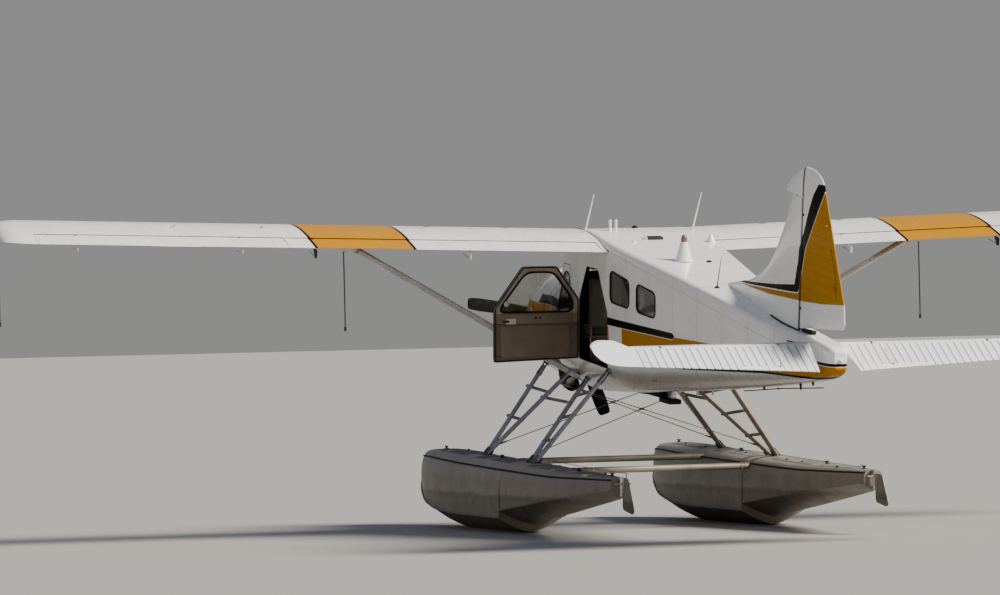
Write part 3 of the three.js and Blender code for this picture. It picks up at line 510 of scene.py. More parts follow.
def tail_paint():
    """Plain white with rivets, for the tailplane and small pieces."""
    surface = painted("tail_paint", grime=0.25)
    x, station = surface.x.size(), surface.station
    surface.over(surface.grime, GRIME, 0.3)
    surface.riveted(x, station, 0.24, 0.2, 0.03, 0.001)
    return surface.finish()


def elevator_paint():
    """Bluish white as painted sky-lit shade, with painted shade in dark lines across it along each rib."""
    # The bluish tint of the white is painted sky-lit shade.
    surface = painted("elevator_paint", (0.70, 0.74, 0.80), grime=0.2)
    x, station = surface.x.size(), surface.station
    # Painted shade: dark lines along each rib stand for the shading of the raised beads.
    rib_shade = (x - 0.012).near(0.08).below(0.0055, 0.003) * x.between(0.22, 2.06) * station.above(8.60, 0.02)
    surface.over(rib_shade, (0.08, 0.09, 0.115), 0.9)
    surface.over(surface.grime, GRIME, 0.3)
    return surface.finish()


def fin_paint():
    """White, with a black angle along the rudder line and the base, and yellow beyond it."""
    surface = painted("fin_paint", grime=0.3)
    station, height = surface.station, surface.height
    edge = height.curve([(0.40, 7.78), (0.9, 7.905), (1.02, 7.942), (1.208, 8.018), (1.348, 8.076), (2.018, 8.635),
                         (2.3, 8.87)])
    base = station.curve([(5.4, 0.858), (6.4, 0.855), (7.04, 0.865), (7.4, 0.871), (7.7, 0.876), (9.4, 0.93)])
    inside = edge - station
    over = height - base
    rounding, horn_line = 0.05, 2.02
    corner = (inside - rounding).least(0.0).power(2) + (over - rounding).least(0.0).power(2)
    deep = rounding + (inside - rounding).least(over - rounding).most(0.0) - corner.power(0.5)
    width = height.curve([(0.8, 0.155), (1.2, 0.142), (1.3, 0.16), (1.55, 0.20), (1.75, 0.25), (1.9, 0.27),
                          (2.01, 0.24), (2.3, 0.24)])
    foot = station.curve([(6.0, 0.012), (6.07, 0.021), (6.73, 0.041), (7.2, 0.055), (7.72, 0.082), (9.3, 0.09)])
    band = (inside.below(width).most(over.below(foot))) * deep.above(0.0) * height.below(horn_line)
    lower = station.curve([(6.03, 0.854), (6.42, 0.831), (7.04, 0.806), (7.47, 0.807), (8.08, 0.806), (8.56, 0.818),
                           (9.3, 0.86)])
    hinge_gap = (station - height * 0.0703).between(7.842, 7.886)
    beyond = deep.below(0.0) * height.above(lower)
    surface.over(surface.grime, GRIME, 0.25)
    surface.over(beyond, YELLOW)
    surface.over(band, BLACK)
    surface.over(deep.size().below(0.0055) * height.below(horn_line), WHITE)
    surface.over(hinge_gap, (0.02, 0.018, 0.016), 0.85)
    surface.dull(beyond.most(band).most(hinge_gap), 0.97)
    surface.riveted(height, station, 0.26, 0.3, 0.03, 0.001)
    return surface.finish()


def cowl_paint():
    surface = painted("cowl_paint", grime=0.25)
    surface.over(surface.grime, GRIME, 0.35)
    stripes(surface)
    return surface.finish()


def float_metal():
    """Bare, weathered sheet: seams and rivets, a scuffed waterline and darker bottom, and a painted highlight that
    lightens its top.
    """
    surface = Surface("float_metal", (0.17, 0.148, 0.118), 0.5, 0.4)
    x, y, z = surface.x.size() - FLOAT_X, surface.y, surface.z
    cloudy = surface.noise(3.5, 7)
    surface.over(cloudy.between(0.45, 1.0, 0.25), (0.25, 0.225, 0.19), 0.7)
    # Painted highlight: the deck and upper sides are lighter where light falls on them.
    surface.over((z - 0.66 + x.size() * 0.1).above(0.0, 0.14), (0.36, 0.335, 0.295), 0.55)
    streaks = surface.noise(4, 6, (1, 1, 0.3)).between(0.5, 1, 0.35)
    surface.over(streaks, (0.115, 0.092, 0.066), 0.22)
    wet = z - 0.40 + (surface.noise(2.5, 4) - 0.5) * 0.07
    surface.over(wet.below(0.0, 0.05), (0.085, 0.068, 0.046), 0.6)
    surface.over(wet.between(-0.03, 0.03, 0.03), (0.06, 0.052, 0.03), 0.5)
    seams = (y + 0.2).near(0.76).below(0.004)
    surface.over(seams, (0.12, 0.11, 0.10), 0.6)
    surface.rough(surface.noise(8, 4) * 0.3 + 0.33)
    surface.riveted(y, z, 0.38, 0.2, 0.035, 0.002, 0.005)
    surface.bump(surface.noise(1.2, 2), 0.02, 0.25)
    return surface.finish()


def deck_grip():
    """Dark gritty strip to walk on."""
    surface = Surface("deck_grip", (0.10, 0.10, 0.10), 0.85)
    surface.over(surface.noise(6, 5).between(0.5, 1, 0.2), (0.2, 0.19, 0.17), 0.6)
    surface.bump(surface.noise(260, 2), 0.002)
    return surface.finish()


def clear_glass():
    surface = Surface("window_glass", (0.62, 0.60, 0.55), 0.04, 0.0, IOR=1.45,
                      **{"Transmission Weight": 1.0})
    surface.rough(surface.noise(6, 4).between(0.55, 0.95, 0.3) * 0.08 + 0.02)
    surface.bump(surface.noise(2.5, 1), 0.002)
    return surface.finish()


def door_trim():
    """The inner face of a cabin door: brown lining below, a paler frame round the window."""
    surface = Surface("door_trim", (0.15, 0.115, 0.078), 0.6)
    height = surface.height
    surface.over(height.above(0.155), (0.24, 0.195, 0.145))
    surface.over(height.above(0.262), (0.40, 0.335, 0.265))
    surface.over(height.near(0.353, 0.148).below(0.004) * height.below(0.16), (0.03, 0.024, 0.02))
    surface.over(surface.noise(5, 6).between(0.5, 1, 0.3), (0.05, 0.04, 0.03), 0.4)
    surface.bump(surface.noise(180, 3), 0.0008)
    return surface.finish()


def cloth():
    """Woven seat cover: fine crossing threads and worn highs."""
    surface = Surface("seat_cloth", (0.15, 0.135, 0.11), 0.85, **{"Sheen Weight": 0.35})
    threads = (surface.x.near(0.0022) + surface.y.near(0.0022) + surface.z.near(0.0022)) * 300
    surface.over(threads, (0.26, 0.235, 0.19), 0.7)
    surface.over(surface.noise(7, 5).between(0.55, 1, 0.2), (0.33, 0.30, 0.25), 0.4)
    surface.bump(threads, 0.0012)
    return surface.finish()


def rope_fibre():
    """Dark strands laid round the rope."""
    surface = Surface("dark_rope", (0.055, 0.048, 0.040), 0.95)
    lay = (surface.x + surface.y + surface.z * 0.6).near(0.011) * 180
    surface.over(lay, (0.16, 0.13, 0.10), 0.8)
    surface.bump(lay, 0.002)
    surface.bump(surface.noise(900, 2), 0.0006)
    return surface.finish()


def blade_black():
    surface = Surface("blade_black", (0.006, 0.006, 0.007), 0.7, **{"Specular IOR Level": 0.03})
    surface.over(surface.noise(18, 6).between(0.62, 1, 0.12), (0.05, 0.048, 0.046), 0.3)
    surface.rough(surface.noise(30, 3) * 0.15 + 0.6)
    surface.bump(surface.noise(90, 3), 0.0006)
    return surface.finish()


def strut_paint():
    """Worn paint, split by side as painted light: bluish for shade on the port side, browner for warm sunlight on the
    starboard side.
    """
    surface = Surface("strut_paint", (0.27, 0.285, 0.34), 0.38, 0.25)
    # Painted light: the starboard side is browner for warm sunlight, the rest bluish for shade.
    surface.over(surface.x.below(-0.3, 0.4), (0.27, 0.205, 0.125))
    surface.over(surface.noise(6, 6, (1, 1, 0.4)).between(0.5, 1, 0.25), (0.11, 0.10, 0.09), 0.55)
    surface.over(surface.noise(21, 4).between(0.6, 1, 0.1), (0.45, 0.42, 0.38), 0.35)
    surface.rough(surface.noise(12, 3) * 0.25 + 0.27)
    surface.bump(surface.noise(40, 4), 0.0007)
    return surface.finish()


FUSELAGE_PAINT = fuselage_paint()
WING_PAINT = wing_paint()
TAIL_PAINT = tail_paint()
ELEVATOR_PAINT = elevator_paint()
FIN_PAINT = fin_paint()
COWL_PAINT = cowl_paint()
FLOAT_METAL = float_metal()
DECK_GRIP = deck_grip()
GLASS = clear_glass()
DOOR_TRIM = door_trim()
CLOTH = cloth()
ROPE = rope_fibre()
BLADE = blade_black()
STRUT = strut_paint()
LIGHT_STRUT = plain("wing_strut_paint", (0.60, 0.58, 0.54), 0.35, 0.1, (0.4, 0.36, 0.3))
RUBBER = plain("rubber", (0.008, 0.0075, 0.007), 0.7, grain=120, **{"Specular IOR Level": 0.25})
SILVER = plain("silver_metal", (0.55, 0.54, 0.52), 0.32, 0.85, (0.25, 0.23, 0.21))
ENGINE_METAL = plain("engine_metal", (0.22, 0.22, 0.225), 0.45, 0.75, (0.07, 0.06, 0.05))
BAR_METAL = plain("bar_metal", (0.27, 0.24, 0.195), 0.4, 0.3, (0.17, 0.145, 0.11))
BURNT = plain("burnt_steel", (0.022, 0.015, 0.011), 0.75, 0.0, (0.05, 0.030, 0.018), 35,
              **{"Specular IOR Level": 0.15})
CABLE = plain("cable_steel", (0.11, 0.105, 0.10), 0.45, 0.7, grain=400)
TRIM = plain("cabin_trim", (0.36, 0.30, 0.235), 0.75, 0.0, (0.24, 0.20, 0.155), grain=150)
CARPET = plain("cabin_carpet", (0.055, 0.050, 0.046), 0.95, 0.0, (0.09, 0.08, 0.07), 500, 0.003)
PANEL = plain("panel_black", (0.006, 0.006, 0.007), 0.7, 0.0, (0.016, 0.016, 0.016), 220,
              **{"Specular IOR Level": 0.2})
DIAL = plain("dial_face", (0.008, 0.008, 0.009), 0.3)
PALE = plain("pale_plastic", (0.62, 0.60, 0.55), 0.45, 0.0, (0.45, 0.42, 0.36))
BROWN_CAP = plain("beacon_glass", (0.16, 0.105, 0.075), 0.25, 0.0, (0.10, 0.07, 0.05))
RED_LIGHT = plain("red_lamp", (0.45, 0.02, 0.015), 0.12, 0.0, (0.3, 0.01, 0.01))
GREEN_LIGHT = plain("green_lamp", (0.02, 0.28, 0.10), 0.12, 0.0, (0.01, 0.2, 0.06))
CLEAR_LIGHT = plain("clear_lamp", (0.75, 0.75, 0.72), 0.12, 0.0, (0.6, 0.6, 0.55))


# ---------------------------------------------------------------- camera

CAMERA_AT = (20.628, 65.552, 2.358)
CAMERA_ANGLES = (16.818, 0.191, -1.257)
LENS, SENSOR = 216, 36


def camera():
    """Seen from behind the port quarter with a long lens, as in the photograph."""
    yaw, tilt, roll = (radians(angle) for angle in CAMERA_ANGLES)
    forward = V((-sin(yaw) * cos(tilt), -cos(yaw) * cos(tilt), sin(tilt)))
    right = V((-cos(yaw), sin(yaw), 0))
    up = right.cross(forward)
    across = right * cos(roll) + up * sin(roll)
    above = up * cos(roll) - right * sin(roll)
    turn = Matrix((across, above, -forward)).transposed().to_4x4()
    data = bpy.data.cameras.new("camera")
    data.lens, data.sensor_width = LENS, SENSOR
    data.clip_start, data.clip_end = 1, 1000
    obj = bpy.data.objects.new("camera", data)
    obj.matrix_world = FLOOR @ Matrix.Translation(CAMERA_AT) @ turn
    bpy.context.scene.collection.objects.link(obj)
    bpy.context.scene.camera = obj


camera()


# ---------------------------------------------------------------- wing form, shared by the ropes

CHORD = 1.59
LEADING_EDGE = 1.866
WING_HEIGHT, WING_RISE = 0.978, radians(1.8)
DIHEDRAL = Matrix.Translation((0, 0, WING_HEIGHT)) @ Matrix.Rotation(-WING_RISE, 4, "Y")
WING_ROOT, HALF_SPAN = 0.615, 7.315
# x, leading edge moved aft, trailing edge moved forward, share of the full thickness
WING_SECTIONS = [(WING_ROOT, 0, 0, 1), (6.98, 0, 0, 1), (7.13, 0.025, 0.030, 0.93), (7.235, 0.095, 0.110, 0.75),
                 (7.295, 0.220, 0.260, 0.45), (HALF_SPAN, 0.390, 0.480, 0.16)]
WING_HINGE = V((0, LEADING_EDGE + 1.27, 0.034))
HINGE_NOSE = 0.044
HINGE_GAP = 0.006
SURFACE_SPANS = {"flap": (0.70, 4.18), "aileron": (4.222, 6.95)}
SURFACE_HORNS = {"flap": (2.16, 3.89), "aileron": (4.70, 6.50)}


def aerofoil(share, side):
    """Height above the chord line, as a share of the chord, on the upper (1) or lower (-1) face."""
    half = 0.75 * (0.2969 * share ** 0.5 - 0.126 * share - 0.3516 * share ** 2 + 0.2843 * share ** 3
                   - 0.1015 * share ** 4)
    camber, place = 0.04, 0.4
    if share < place:
        line = camber / place ** 2 * (2 * place * share - share ** 2)
    else:
        line = camber / (1 - place) ** 2 * (1 - 2 * place + 2 * place * share - share ** 2)
    return line + side * half


# Tie-down blocks under the wing: x, distance aft of the leading edge
TIE_DOWNS = [(3.34, 0.57), (7.19, 0.64)]


def tie_down_floor(x, aft):
    """The height of a block's underside. The wing is thinner near its tip."""
    return aerofoil(aft / CHORD, -1) * CHORD * (0.8 if x > 7 else 1) - 0.05


# ---------------------------------------------------------------- handling ropes

ROPE_LENGTH, ROPE_RADIUS, ROPE_DROP = 0.86, 0.007, 0.0012


def handling_rope(number, side, x, aft):
    """A rope that hangs from its block under the wing and ends in a tied loop."""
    top = AIR @ DIHEDRAL @ V((x, LEADING_EDGE + aft, tie_down_floor(x, aft)))
    top.x *= 1 if side == "left" else -1
    top.z -= ROPE_DROP
    steps = 24
    path = [top - lift(ROPE_LENGTH * i / steps) for i in range(steps + 1)]
    for i, point in enumerate(path):
        point.y += 0.006 * sin(pi * i / steps) * max(0, i - 3) / steps
    length = sum((b - a).length for a, b in zip(path, path[1:]))
    path = [top + (p - top) * (ROPE_LENGTH / length) for p in path]
    shape = Shape().tube(path, ROPE_RADIUS, sides=16)
    name = f"handling_rope_{number}_{side}"
    rope = piece(f"rope_{number}_{side}", shape, [ROPE], "airframe", Matrix.Identity(4), name, "dark_rope")
    end = path[-1]
    knot = Shape()
    for k, (radius, low) in enumerate(((0.0135, -0.004), (0.0145, -0.018), (0.013, -0.031))):
        turn = Matrix.Rotation(radians(18 * (k - 1)), 4, "X")
        ring = [turn @ V((0.0065 * cos(a), 0.0065 * sin(a), 0)) for a in circle(20)]
        knot.tube([end + p + lift(0.036 + low) for p in ring], radius * 0.62, sides=10)
    piece_knot = piece(f"rope_knot_{number}_{side}", knot, [ROPE], "airframe", Matrix.Identity(4), slot="dark_rope")


for rope_number, (rope_x, rope_aft) in enumerate(TIE_DOWNS, 1):
    for rope_side in ("left", "right"):
        handling_rope(rope_number, rope_side, rope_x, rope_aft)


# ---------------------------------------------------------------- fuselage

# station, half width, top, bottom, top corner radius, bottom corner radius
FUSELAGE = [
    (1.180, 0.600, 0.605, -0.610, 0.540, 0.590),
    (1.450, 0.612, 0.625, -0.632, 0.480, 0.520),
    (1.900, 0.624, 1.050, -0.645, 0.080, 0.450),
    (2.150, 0.632, 1.140, -0.640, 0.045, 0.430),
    (2.510, 0.640, 1.186, -0.618, 0.045, 0.420),
    (2.900, 0.638, 1.160, -0.590, 0.050, 0.400),
    (3.250, 0.640, 1.115, -0.560, 0.060, 0.380),
    (3.600, 0.625, 1.068, -0.530, 0.080, 0.360),
    (4.750, 0.515, 0.924, -0.410, 0.075, 0.300),
    (6.200, 0.365, 0.727, -0.250, 0.060, 0.220),
    (7.600, 0.200, 0.523, -0.085, 0.050, 0.130),
    (8.500, 0.130, 0.465, 0.040, 0.050, 0.070),
    (8.950, 0.105, 0.420, 0.140, 0.050, 0.060),
    (9.040, 0.060, 0.370, 0.200, 0.030, 0.035),
]
FIREWALL, REAR_BULKHEAD, TAIL_END = 1.18, 4.75, 9.04
WALL = 0.04
GLASS_THICKNESS = 0.008
DOOR_GAP = 0.006
CORNER_STEPS, SIDE_STEPS, FLAT_STEPS = 12, 10, 6


def section_ring(station, half, top, bottom, top_radius, bottom_radius, inset=0.0):
    """A rounded rectangle, from its port upper corner round to port again."""
    corners = ((1, top, top_radius, -1), (-1, top, top_radius, -1), (-1, bottom, bottom_radius, 1),
               (1, bottom, bottom_radius, 1))
    arcs = []
    for quarter, (side, level, corner, inwards) in enumerate(corners):
        radius = max(corner - inset, 0.005)
        centre = (side * (half - inset - radius), level + inwards * (inset + radius))
        arcs.append([V((centre[0] + radius * cos(pi / 2 * (quarter + i / CORNER_STEPS)), station,
                        centre[1] + radius * sin(pi / 2 * (quarter + i / CORNER_STEPS))))
                     for i in range(CORNER_STEPS + 1)])
    ring = []
    for i, arc in enumerate(arcs):
        ring += arc
        steps = FLAT_STEPS if i % 2 == 0 else SIDE_STEPS
        start, end = arc[-1], arcs[(i + 1) % 4][0]
        ring += [start.lerp(end, k / steps) for k in range(1, steps)]
    return ring


def fuselage_loft(start, end, inset=0.0, step=0.09):
    """The fuselage's form between two stations, all round it the inset smaller."""
    stations = sorted(set([start, end] + [s for s in spaced(FUSELAGE[0][0], TAIL_END, step) if start < s < end]))
    return Shape().loft([section_ring(s, *table_row(FUSELAGE, s), inset=inset) for s in stations])


def skin_x(station, height):
    """Half width of the fuselage at a station and height."""
    half, top, bottom, top_radius, bottom_radius = table_row(FUSELAGE, station)
    for level, radius, inwards in ((top, top_radius, 1), (bottom, bottom_radius, -1)):
        into = (height - (level - inwards * radius)) * inwards
        if into > 0:
            return half - radius + math.sqrt(max(radius ** 2 - into ** 2, 0))
    return half


def raw_object(shape):
    """A bare object for cutting, in the airframe's own coordinates."""
    mesh = bpy.data.meshes.new("tool")
    mesh.from_pydata(shape.points, [], shape.faces)
    bm = bmesh.new()
    bm.from_mesh(mesh)
    if not shape.turned_out:
        bmesh.ops.remove_doubles(bm, verts=bm.verts[:], dist=1e-6)
        bmesh.ops.recalc_face_normals(bm, faces=bm.faces[:])
    bm.to_mesh(mesh)
    bm.free()
    obj = bpy.data.objects.new("tool", mesh)
    bpy.context.scene.collection.objects.link(obj)
    return obj


def combined(base, tools, operation="DIFFERENCE"):
    """The shape left when each tool shape is cut from the base, or when the base is cut to them."""
    target = raw_object(base)
    helpers = [raw_object(tool) for tool in tools]
    for helper in helpers:
        modifier = target.modifiers.new("cut", "BOOLEAN")
        modifier.operation = operation
        modifier.object = helper
        modifier.solver = "EXACT"
    bpy.context.view_layer.update()
    result = target.evaluated_get(bpy.context.evaluated_depsgraph_get()).to_mesh()
    shape = Shape(turned_out=True).add([v.co.copy() for v in result.vertices],
                                       [list(p.vertices) for p in result.polygons])
    target.evaluated_get(bpy.context.evaluated_depsgraph_get()).to_mesh_clear()
    for obj in (target, *helpers):
        bpy.data.meshes.remove(obj.data)
    return shape


OUTER, INNER, EDGE = 0, 1, 2


def sort_skin(shape, thickness=WALL):
    """Tells the outer face, the inner face and the cut edges of a wall piece apart."""
    for i, face in enumerate(shape.faces):
        middle = sum((shape.points[k] for k in face), V()) / len(face)
        station = min(max(middle.y, FIREWALL), TAIL_END)
        half, top, bottom, top_radius, bottom_radius = table_row(FUSELAGE, station)
        centre_x = max(half - (top_radius if middle.z > 0.2 else bottom_radius), 0)
        level = min(max(middle.z, bottom + bottom_radius), top - top_radius)
        if abs(middle.x) > centre_x and level != middle.z:
            radius = top_radius if middle.z > level else bottom_radius
            depth = radius - math.hypot(abs(middle.x) - centre_x, middle.z - level)
        else:
            depth = min(half - abs(middle.x), top - middle.z, middle.z - bottom)
        shape.kinds[i] = OUTER if depth < 0.004 else INNER if depth > thickness - 0.004 else EDGE
    return shape


def prism(outline, x0=0.25, x1=0.90):
    """A block that cuts an outline through the side wall."""
    return Shape().loft([[V((x, *p)) for p in outline] for x in (x0, x1)])


CREW_DOOR = {
    "outline": [(1.500, -0.235), (2.125, -0.245), (2.125, 0.600), (2.045, 0.760), (1.800, 0.760), (1.500, 0.300)],
    "window": [(1.580, 0.200), (2.050, 0.200), (2.050, 0.570), (1.990, 0.670), (1.830, 0.670), (1.580, 0.290)],
    "hinge": 1.500,
    "heights": (-0.095, 0.090),
}
CABIN_DOOR = {
    "outline": [(2.420, -0.250), (3.410, -0.280), (3.410, 0.330), (3.080, 0.785), (2.680, 0.785), (2.420, 0.420)],
    "window": [(2.500, 0.275), (3.330, 0.275), (3.330, 0.335), (3.040, 0.715), (2.720, 0.715), (2.500, 0.410)],
    "hinge": 2.420,
    "heights": (-0.150, 0.280),
}
REAR_WINDOWS = [[(3.500, 0.458), (4.035, 0.424), (4.035, 0.722), (3.500, 0.803)],
                [(4.232, 0.406), (4.715, 0.369), (4.715, 0.640), (4.232, 0.711)]]
WINDSCREEN = [(1.500, 0.560), (1.640, 0.560), (1.885, 0.960), (1.885, 1.400), (1.500, 1.400)]
SCREEN_HALF = 0.52
DOOR_CORNER, WINDOW_CORNER = 0.03, 0.085


def on_skin(outline, out=0.0, step=0.03):
    """A closed outline laid on the port skin, with points close enough together to follow it."""
    path = []
    for a, b in zip(outline, outline[1:] + outline[:1]):
        parts = max(1, int((V(b) - V(a)).length / step))
        path += [V(a).lerp(V(b), k / parts) for k in range(parts)]
    return [V((skin_x(p.x, p.y) + out, p.x, p.y)) for p in path]


def seal(outline, radius, out=0.0, kind=0, shape=None):
    """A rubber strip along an outline on the port skin."""
    path = on_skin(outline, out)
    return (shape or Shape()).tube([*path, path[0], path[1]], radius, kind, 8, up=V((1, 0, 0)))


cabin_outside = fuselage_loft(FIREWALL, REAR_BULKHEAD)
cabin_inside = fuselage_loft(FIREWALL + WALL, REAR_BULKHEAD - WALL, WALL)
cabin_wall = combined(cabin_outside, [cabin_inside])
glass_inside = fuselage_loft(FIREWALL + WALL, REAR_BULKHEAD - WALL, GLASS_THICKNESS)
glass_skin = combined(cabin_outside, [glass_inside])

door_outlines = {name: rounded(door["outline"], DOOR_CORNER) for name, door in
                 (("crew", CREW_DOOR), ("cabin", CABIN_DOOR))}
window_outlines = [rounded(outline, WINDOW_CORNER) for outline in REAR_WINDOWS]
side_cuts = [prism(outline) for outline in [*door_outlines.values(), *window_outlines]]
screen_cut = prism(WINDSCREEN, -SCREEN_HALF, SCREEN_HALF)

shell = sort_skin(combined(cabin_wall, [*side_cuts, *(tool.mirrored() for tool in side_cuts), screen_cut]))

# Fittings and hinges on the shell's lower corners: x, floor station, floor height
STRUT_TOPS = {
    "wing": V((0.600, 2.160, 1.700)),
    "front": V((0.650, 1.185, 1.840)),
    "frontDiagonal": V((0.545, 1.800, 1.755)),
    "rearDiagonal": V((0.560, 2.420, 1.665)),
    "rear": V((0.640, 3.430, 1.745)),
}
TO_AIR = AIR.inverted() @ FLOOR


def air_point(p):
    """A point of the floor's coordinates, in the airframe's."""
    return TO_AIR @ V(p)


fittings = Shape()
for top in STRUT_TOPS.values():
    inner, outer = air_point(top + V((-0.17, 0, 0.12))), air_point(top)
    fittings.tube([inner, inner.lerp(outer, 0.55), outer], [0.04, 0.028, 0.026], EDGE, 20)
    fittings.lathe([(0.052, -0.004), (0.052, 0.008), (0.040, 0.014), (0.026, 0.022)], EDGE, 24,
                   inner.lerp(outer, 0.50), outer - inner)


def hinge_x(door):
    """How far out a door's hinge line lies."""
    return table_row(FUSELAGE, door["hinge"])[0] + 0.014


def knuckle(shape, door, height, leaf_end, kind):
    """A knuckle of a door hinge, and its leaf on the skin."""
    x, station = hinge_x(door), door["hinge"]
    shape.lathe([(0.0095, 0), (0.0105, 0.004), (0.0105, 0.056), (0.0095, 0.06)], kind, 16, (x, station, height),
                (0, 0, 1))
    shape.box((x - 0.020, min(leaf_end, station), height), (x - 0.004, max(leaf_end, station), height + 0.06), kind,
              0.003)
    for low in (0.015, 0.045):
        shape.bolt((x - 0.005, (leaf_end + station) / 2 + (leaf_end - station) * 0.25, height + low), (1, 0, 0),
                   0.005, 0.003, kind)
    return shape


for door in (CREW_DOOR, CABIN_DOOR):
    for height in door["heights"]:
        knuckle(fittings, door, height, door["hinge"] - 0.05, EDGE)
        fittings.lathe([(0.004, 0), (0.004, 0.122), (0.002, 0.124)], EDGE, 10,
                       (hinge_x(door), door["hinge"], height), (0, 0, 1))
shell.merge(fittings.both(), kind=3)
piece("cabin_skin", shell, [FUSELAGE_PAINT, TRIM, RUBBER, STRUT], "airframe", node="cabin_shell", slot="white_paint",
      sharp=28)

seals = Shape()
for outline in window_outlines:
    seal(outline, 0.010, 0.001, 0, seals)
for outline in door_outlines.values():
    seal(outline, 0.005, -0.004, 0, seals)
piece("window_seals", seals.both(), [RUBBER], "airframe", slot="panel_black")

PANE_PLAY = 0.0005
for i, outline in enumerate(window_outlines, 1):
    inset_outline = [(s + (3.8 - s) * PANE_PLAY, h) for s, h in outline]
    pane = combined(glass_skin, [prism(inset_outline)], "INTERSECT")
    pair(f"rear_pane_{i}", pane, [GLASS], "airframe", node=f"rear_window_{i}_{{}}", slot="window_glass")
screen_block = prism(shrunk(WINDSCREEN, PANE_PLAY), -SCREEN_HALF + PANE_PLAY, SCREEN_HALF - PANE_PLAY)
screen = combined(glass_skin, [screen_block], "INTERSECT")
piece("screen_pane", screen, [GLASS], "airframe", node="windshield", slot="window_glass")

# Rear fuselage: one closed skin behind the bulkhead
cone_stations = sorted({REAR_BULKHEAD + 0.0003, *(s for s in spaced(1.18, 8.95, 0.09) if s > 4.78), 8.98, 9.01,
                        9.03, TAIL_END})
tail_cone = Shape().loft([section_ring(s, *table_row(FUSELAGE, s)) for s in cone_stations])
piece("tail_cone", tail_cone, [FUSELAGE_PAINT], "airframe", node="rear_fuselage", slot="white_paint", sharp=40)


# ---------------------------------------------------------------- doors

def door_leaf(outline, door):
    """The leaf of a door, with its window cut, as skin, lining and edge."""
    window = rounded(door["window"], WINDOW_CORNER)
    wall = combined(cabin_wall, [prism(shrunk(outline, DOOR_GAP))], "INTERSECT")
    leaf = sort_skin(combined(wall, [prism(window)]))
    knuckles = Shape()
    for height in door["heights"]:
        knuckle(knuckles, door, height + 0.0603, door["hinge"] + 0.05, 3)
    leaf.merge(knuckles, kind=3)
    return leaf, window


def door_fittings(window, door, lever):
    """Gaskets round the window, the edge seal, latch plate, lever and grab knob."""
    shape = Shape()
    seal(window, 0.008, 0.001, 0, shape)
    seal(window, 0.011, -WALL, 0, shape)
    edge = shrunk(rounded(door["outline"], DOOR_CORNER), 0.020)
    seal(edge, 0.007, -WALL, 0, shape)
    y, z = lever
    x = skin_x(y, z) - WALL - 0.018
    shape.box((x - 0.004, y - 0.075, z - 0.030), (x + 0.020, y + 0.035, z + 0.030), 1, 0.003)
    for dy in (-0.045, 0.045):
        shape.bolt((x - 0.006, y + dy, z), (-1, 0, 0), 0.006, 0.003, 2)
    shape.lathe([(0.014, 0), (0.014, 0.012), (0.010, 0.018)], 0, 20, (x - 0.004, y + 0.02, z), (-1, 0, 0))
    shape.box((x - 0.024, y + 0.010, z - 0.009), (x - 0.014, y + 0.085, z + 0.009), 0, 0.004)
    outer = skin_x(y, z)
    shape.box((outer - 0.002, y - 0.07, z - 0.025), (outer + 0.004, y + 0.05, z + 0.025), 2, 0.004)
    shape.box((outer + 0.006, y - 0.09, z - 0.009), (outer + 0.018, y + 0.02, z + 0.009), 2, 0.005)
    shape.lathe([(0.010, -0.004), (0.010, 0.014)], 2, 16, (outer, y + 0.005, z), (1, 0, 0))
    return shape


cabin_leaf, cabin_window = door_leaf(door_outlines["cabin"], CABIN_DOOR)
crew_leaf, crew_window = door_leaf(door_outlines["crew"], CREW_DOOR)
cabin_fittings = door_fittings(cabin_window, CABIN_DOOR, (3.235, 0.178))
crew_fittings = door_fittings(crew_window, CREW_DOOR, (2.03, 0.05))

# The cabin door's lining: a raised panel, a ledge under the window, a grab knob and two coat studs
x_in = skin_x(3.0, 0.0) - WALL
panel_outline = rounded([(2.53, -0.205), (3.33, -0.222), (3.33, 0.128), (2.53, 0.128)], 0.05)
cabin_fittings.plate(panel_outline, x_in - 0.012, x_in + 0.004, 3, 0.004)
cabin_fittings.plate(rounded([(2.50, 0.150), (3.345, 0.150), (3.345, 0.255), (2.50, 0.255)], 0.02), x_in - 0.016,
                     x_in + 0.004, 4, 0.004)
for knob_y in (2.88, 2.93):
    cabin_fittings.dome((x_in - 0.014, knob_y, 0.212), 0.013, 0.012, 0, (-1, 0, 0), 16)
cabin_fittings.dome((skin_x(3.262, 0.372) - WALL, 3.262, 0.372), 0.034, 0.022, 1, (-1, 0, 0), 28)
for i in range(7):
    cabin_fittings.bolt((x_in - 0.012, 2.60 + 0.11 * i, -0.190), (-1, 0, 0), 0.004, 0.002, 3)
DOOR_LEDGE = plain("door_ledge", (0.20, 0.155, 0.110), 0.55, 0.0, (0.14, 0.11, 0.08), grain=160)
DOOR_LINING = plain("door_lining", (0.185, 0.138, 0.092), 0.6, 0.0, (0.13, 0.096, 0.065), grain=160)
FITTING_KINDS = [RUBBER, PALE, SILVER, DOOR_LINING, DOOR_LEDGE]
LEAF_KINDS = [FUSELAGE_PAINT, DOOR_TRIM, RUBBER, STRUT]

pivot = V((hinge_x(CABIN_DOOR), CABIN_DOOR["hinge"], 0))
OPEN = (AIR @ Matrix.Translation(pivot) @ Matrix.Rotation(radians(-90), 4, "Z") @ Matrix.Translation(-pivot)
        @ AIR.inverted())


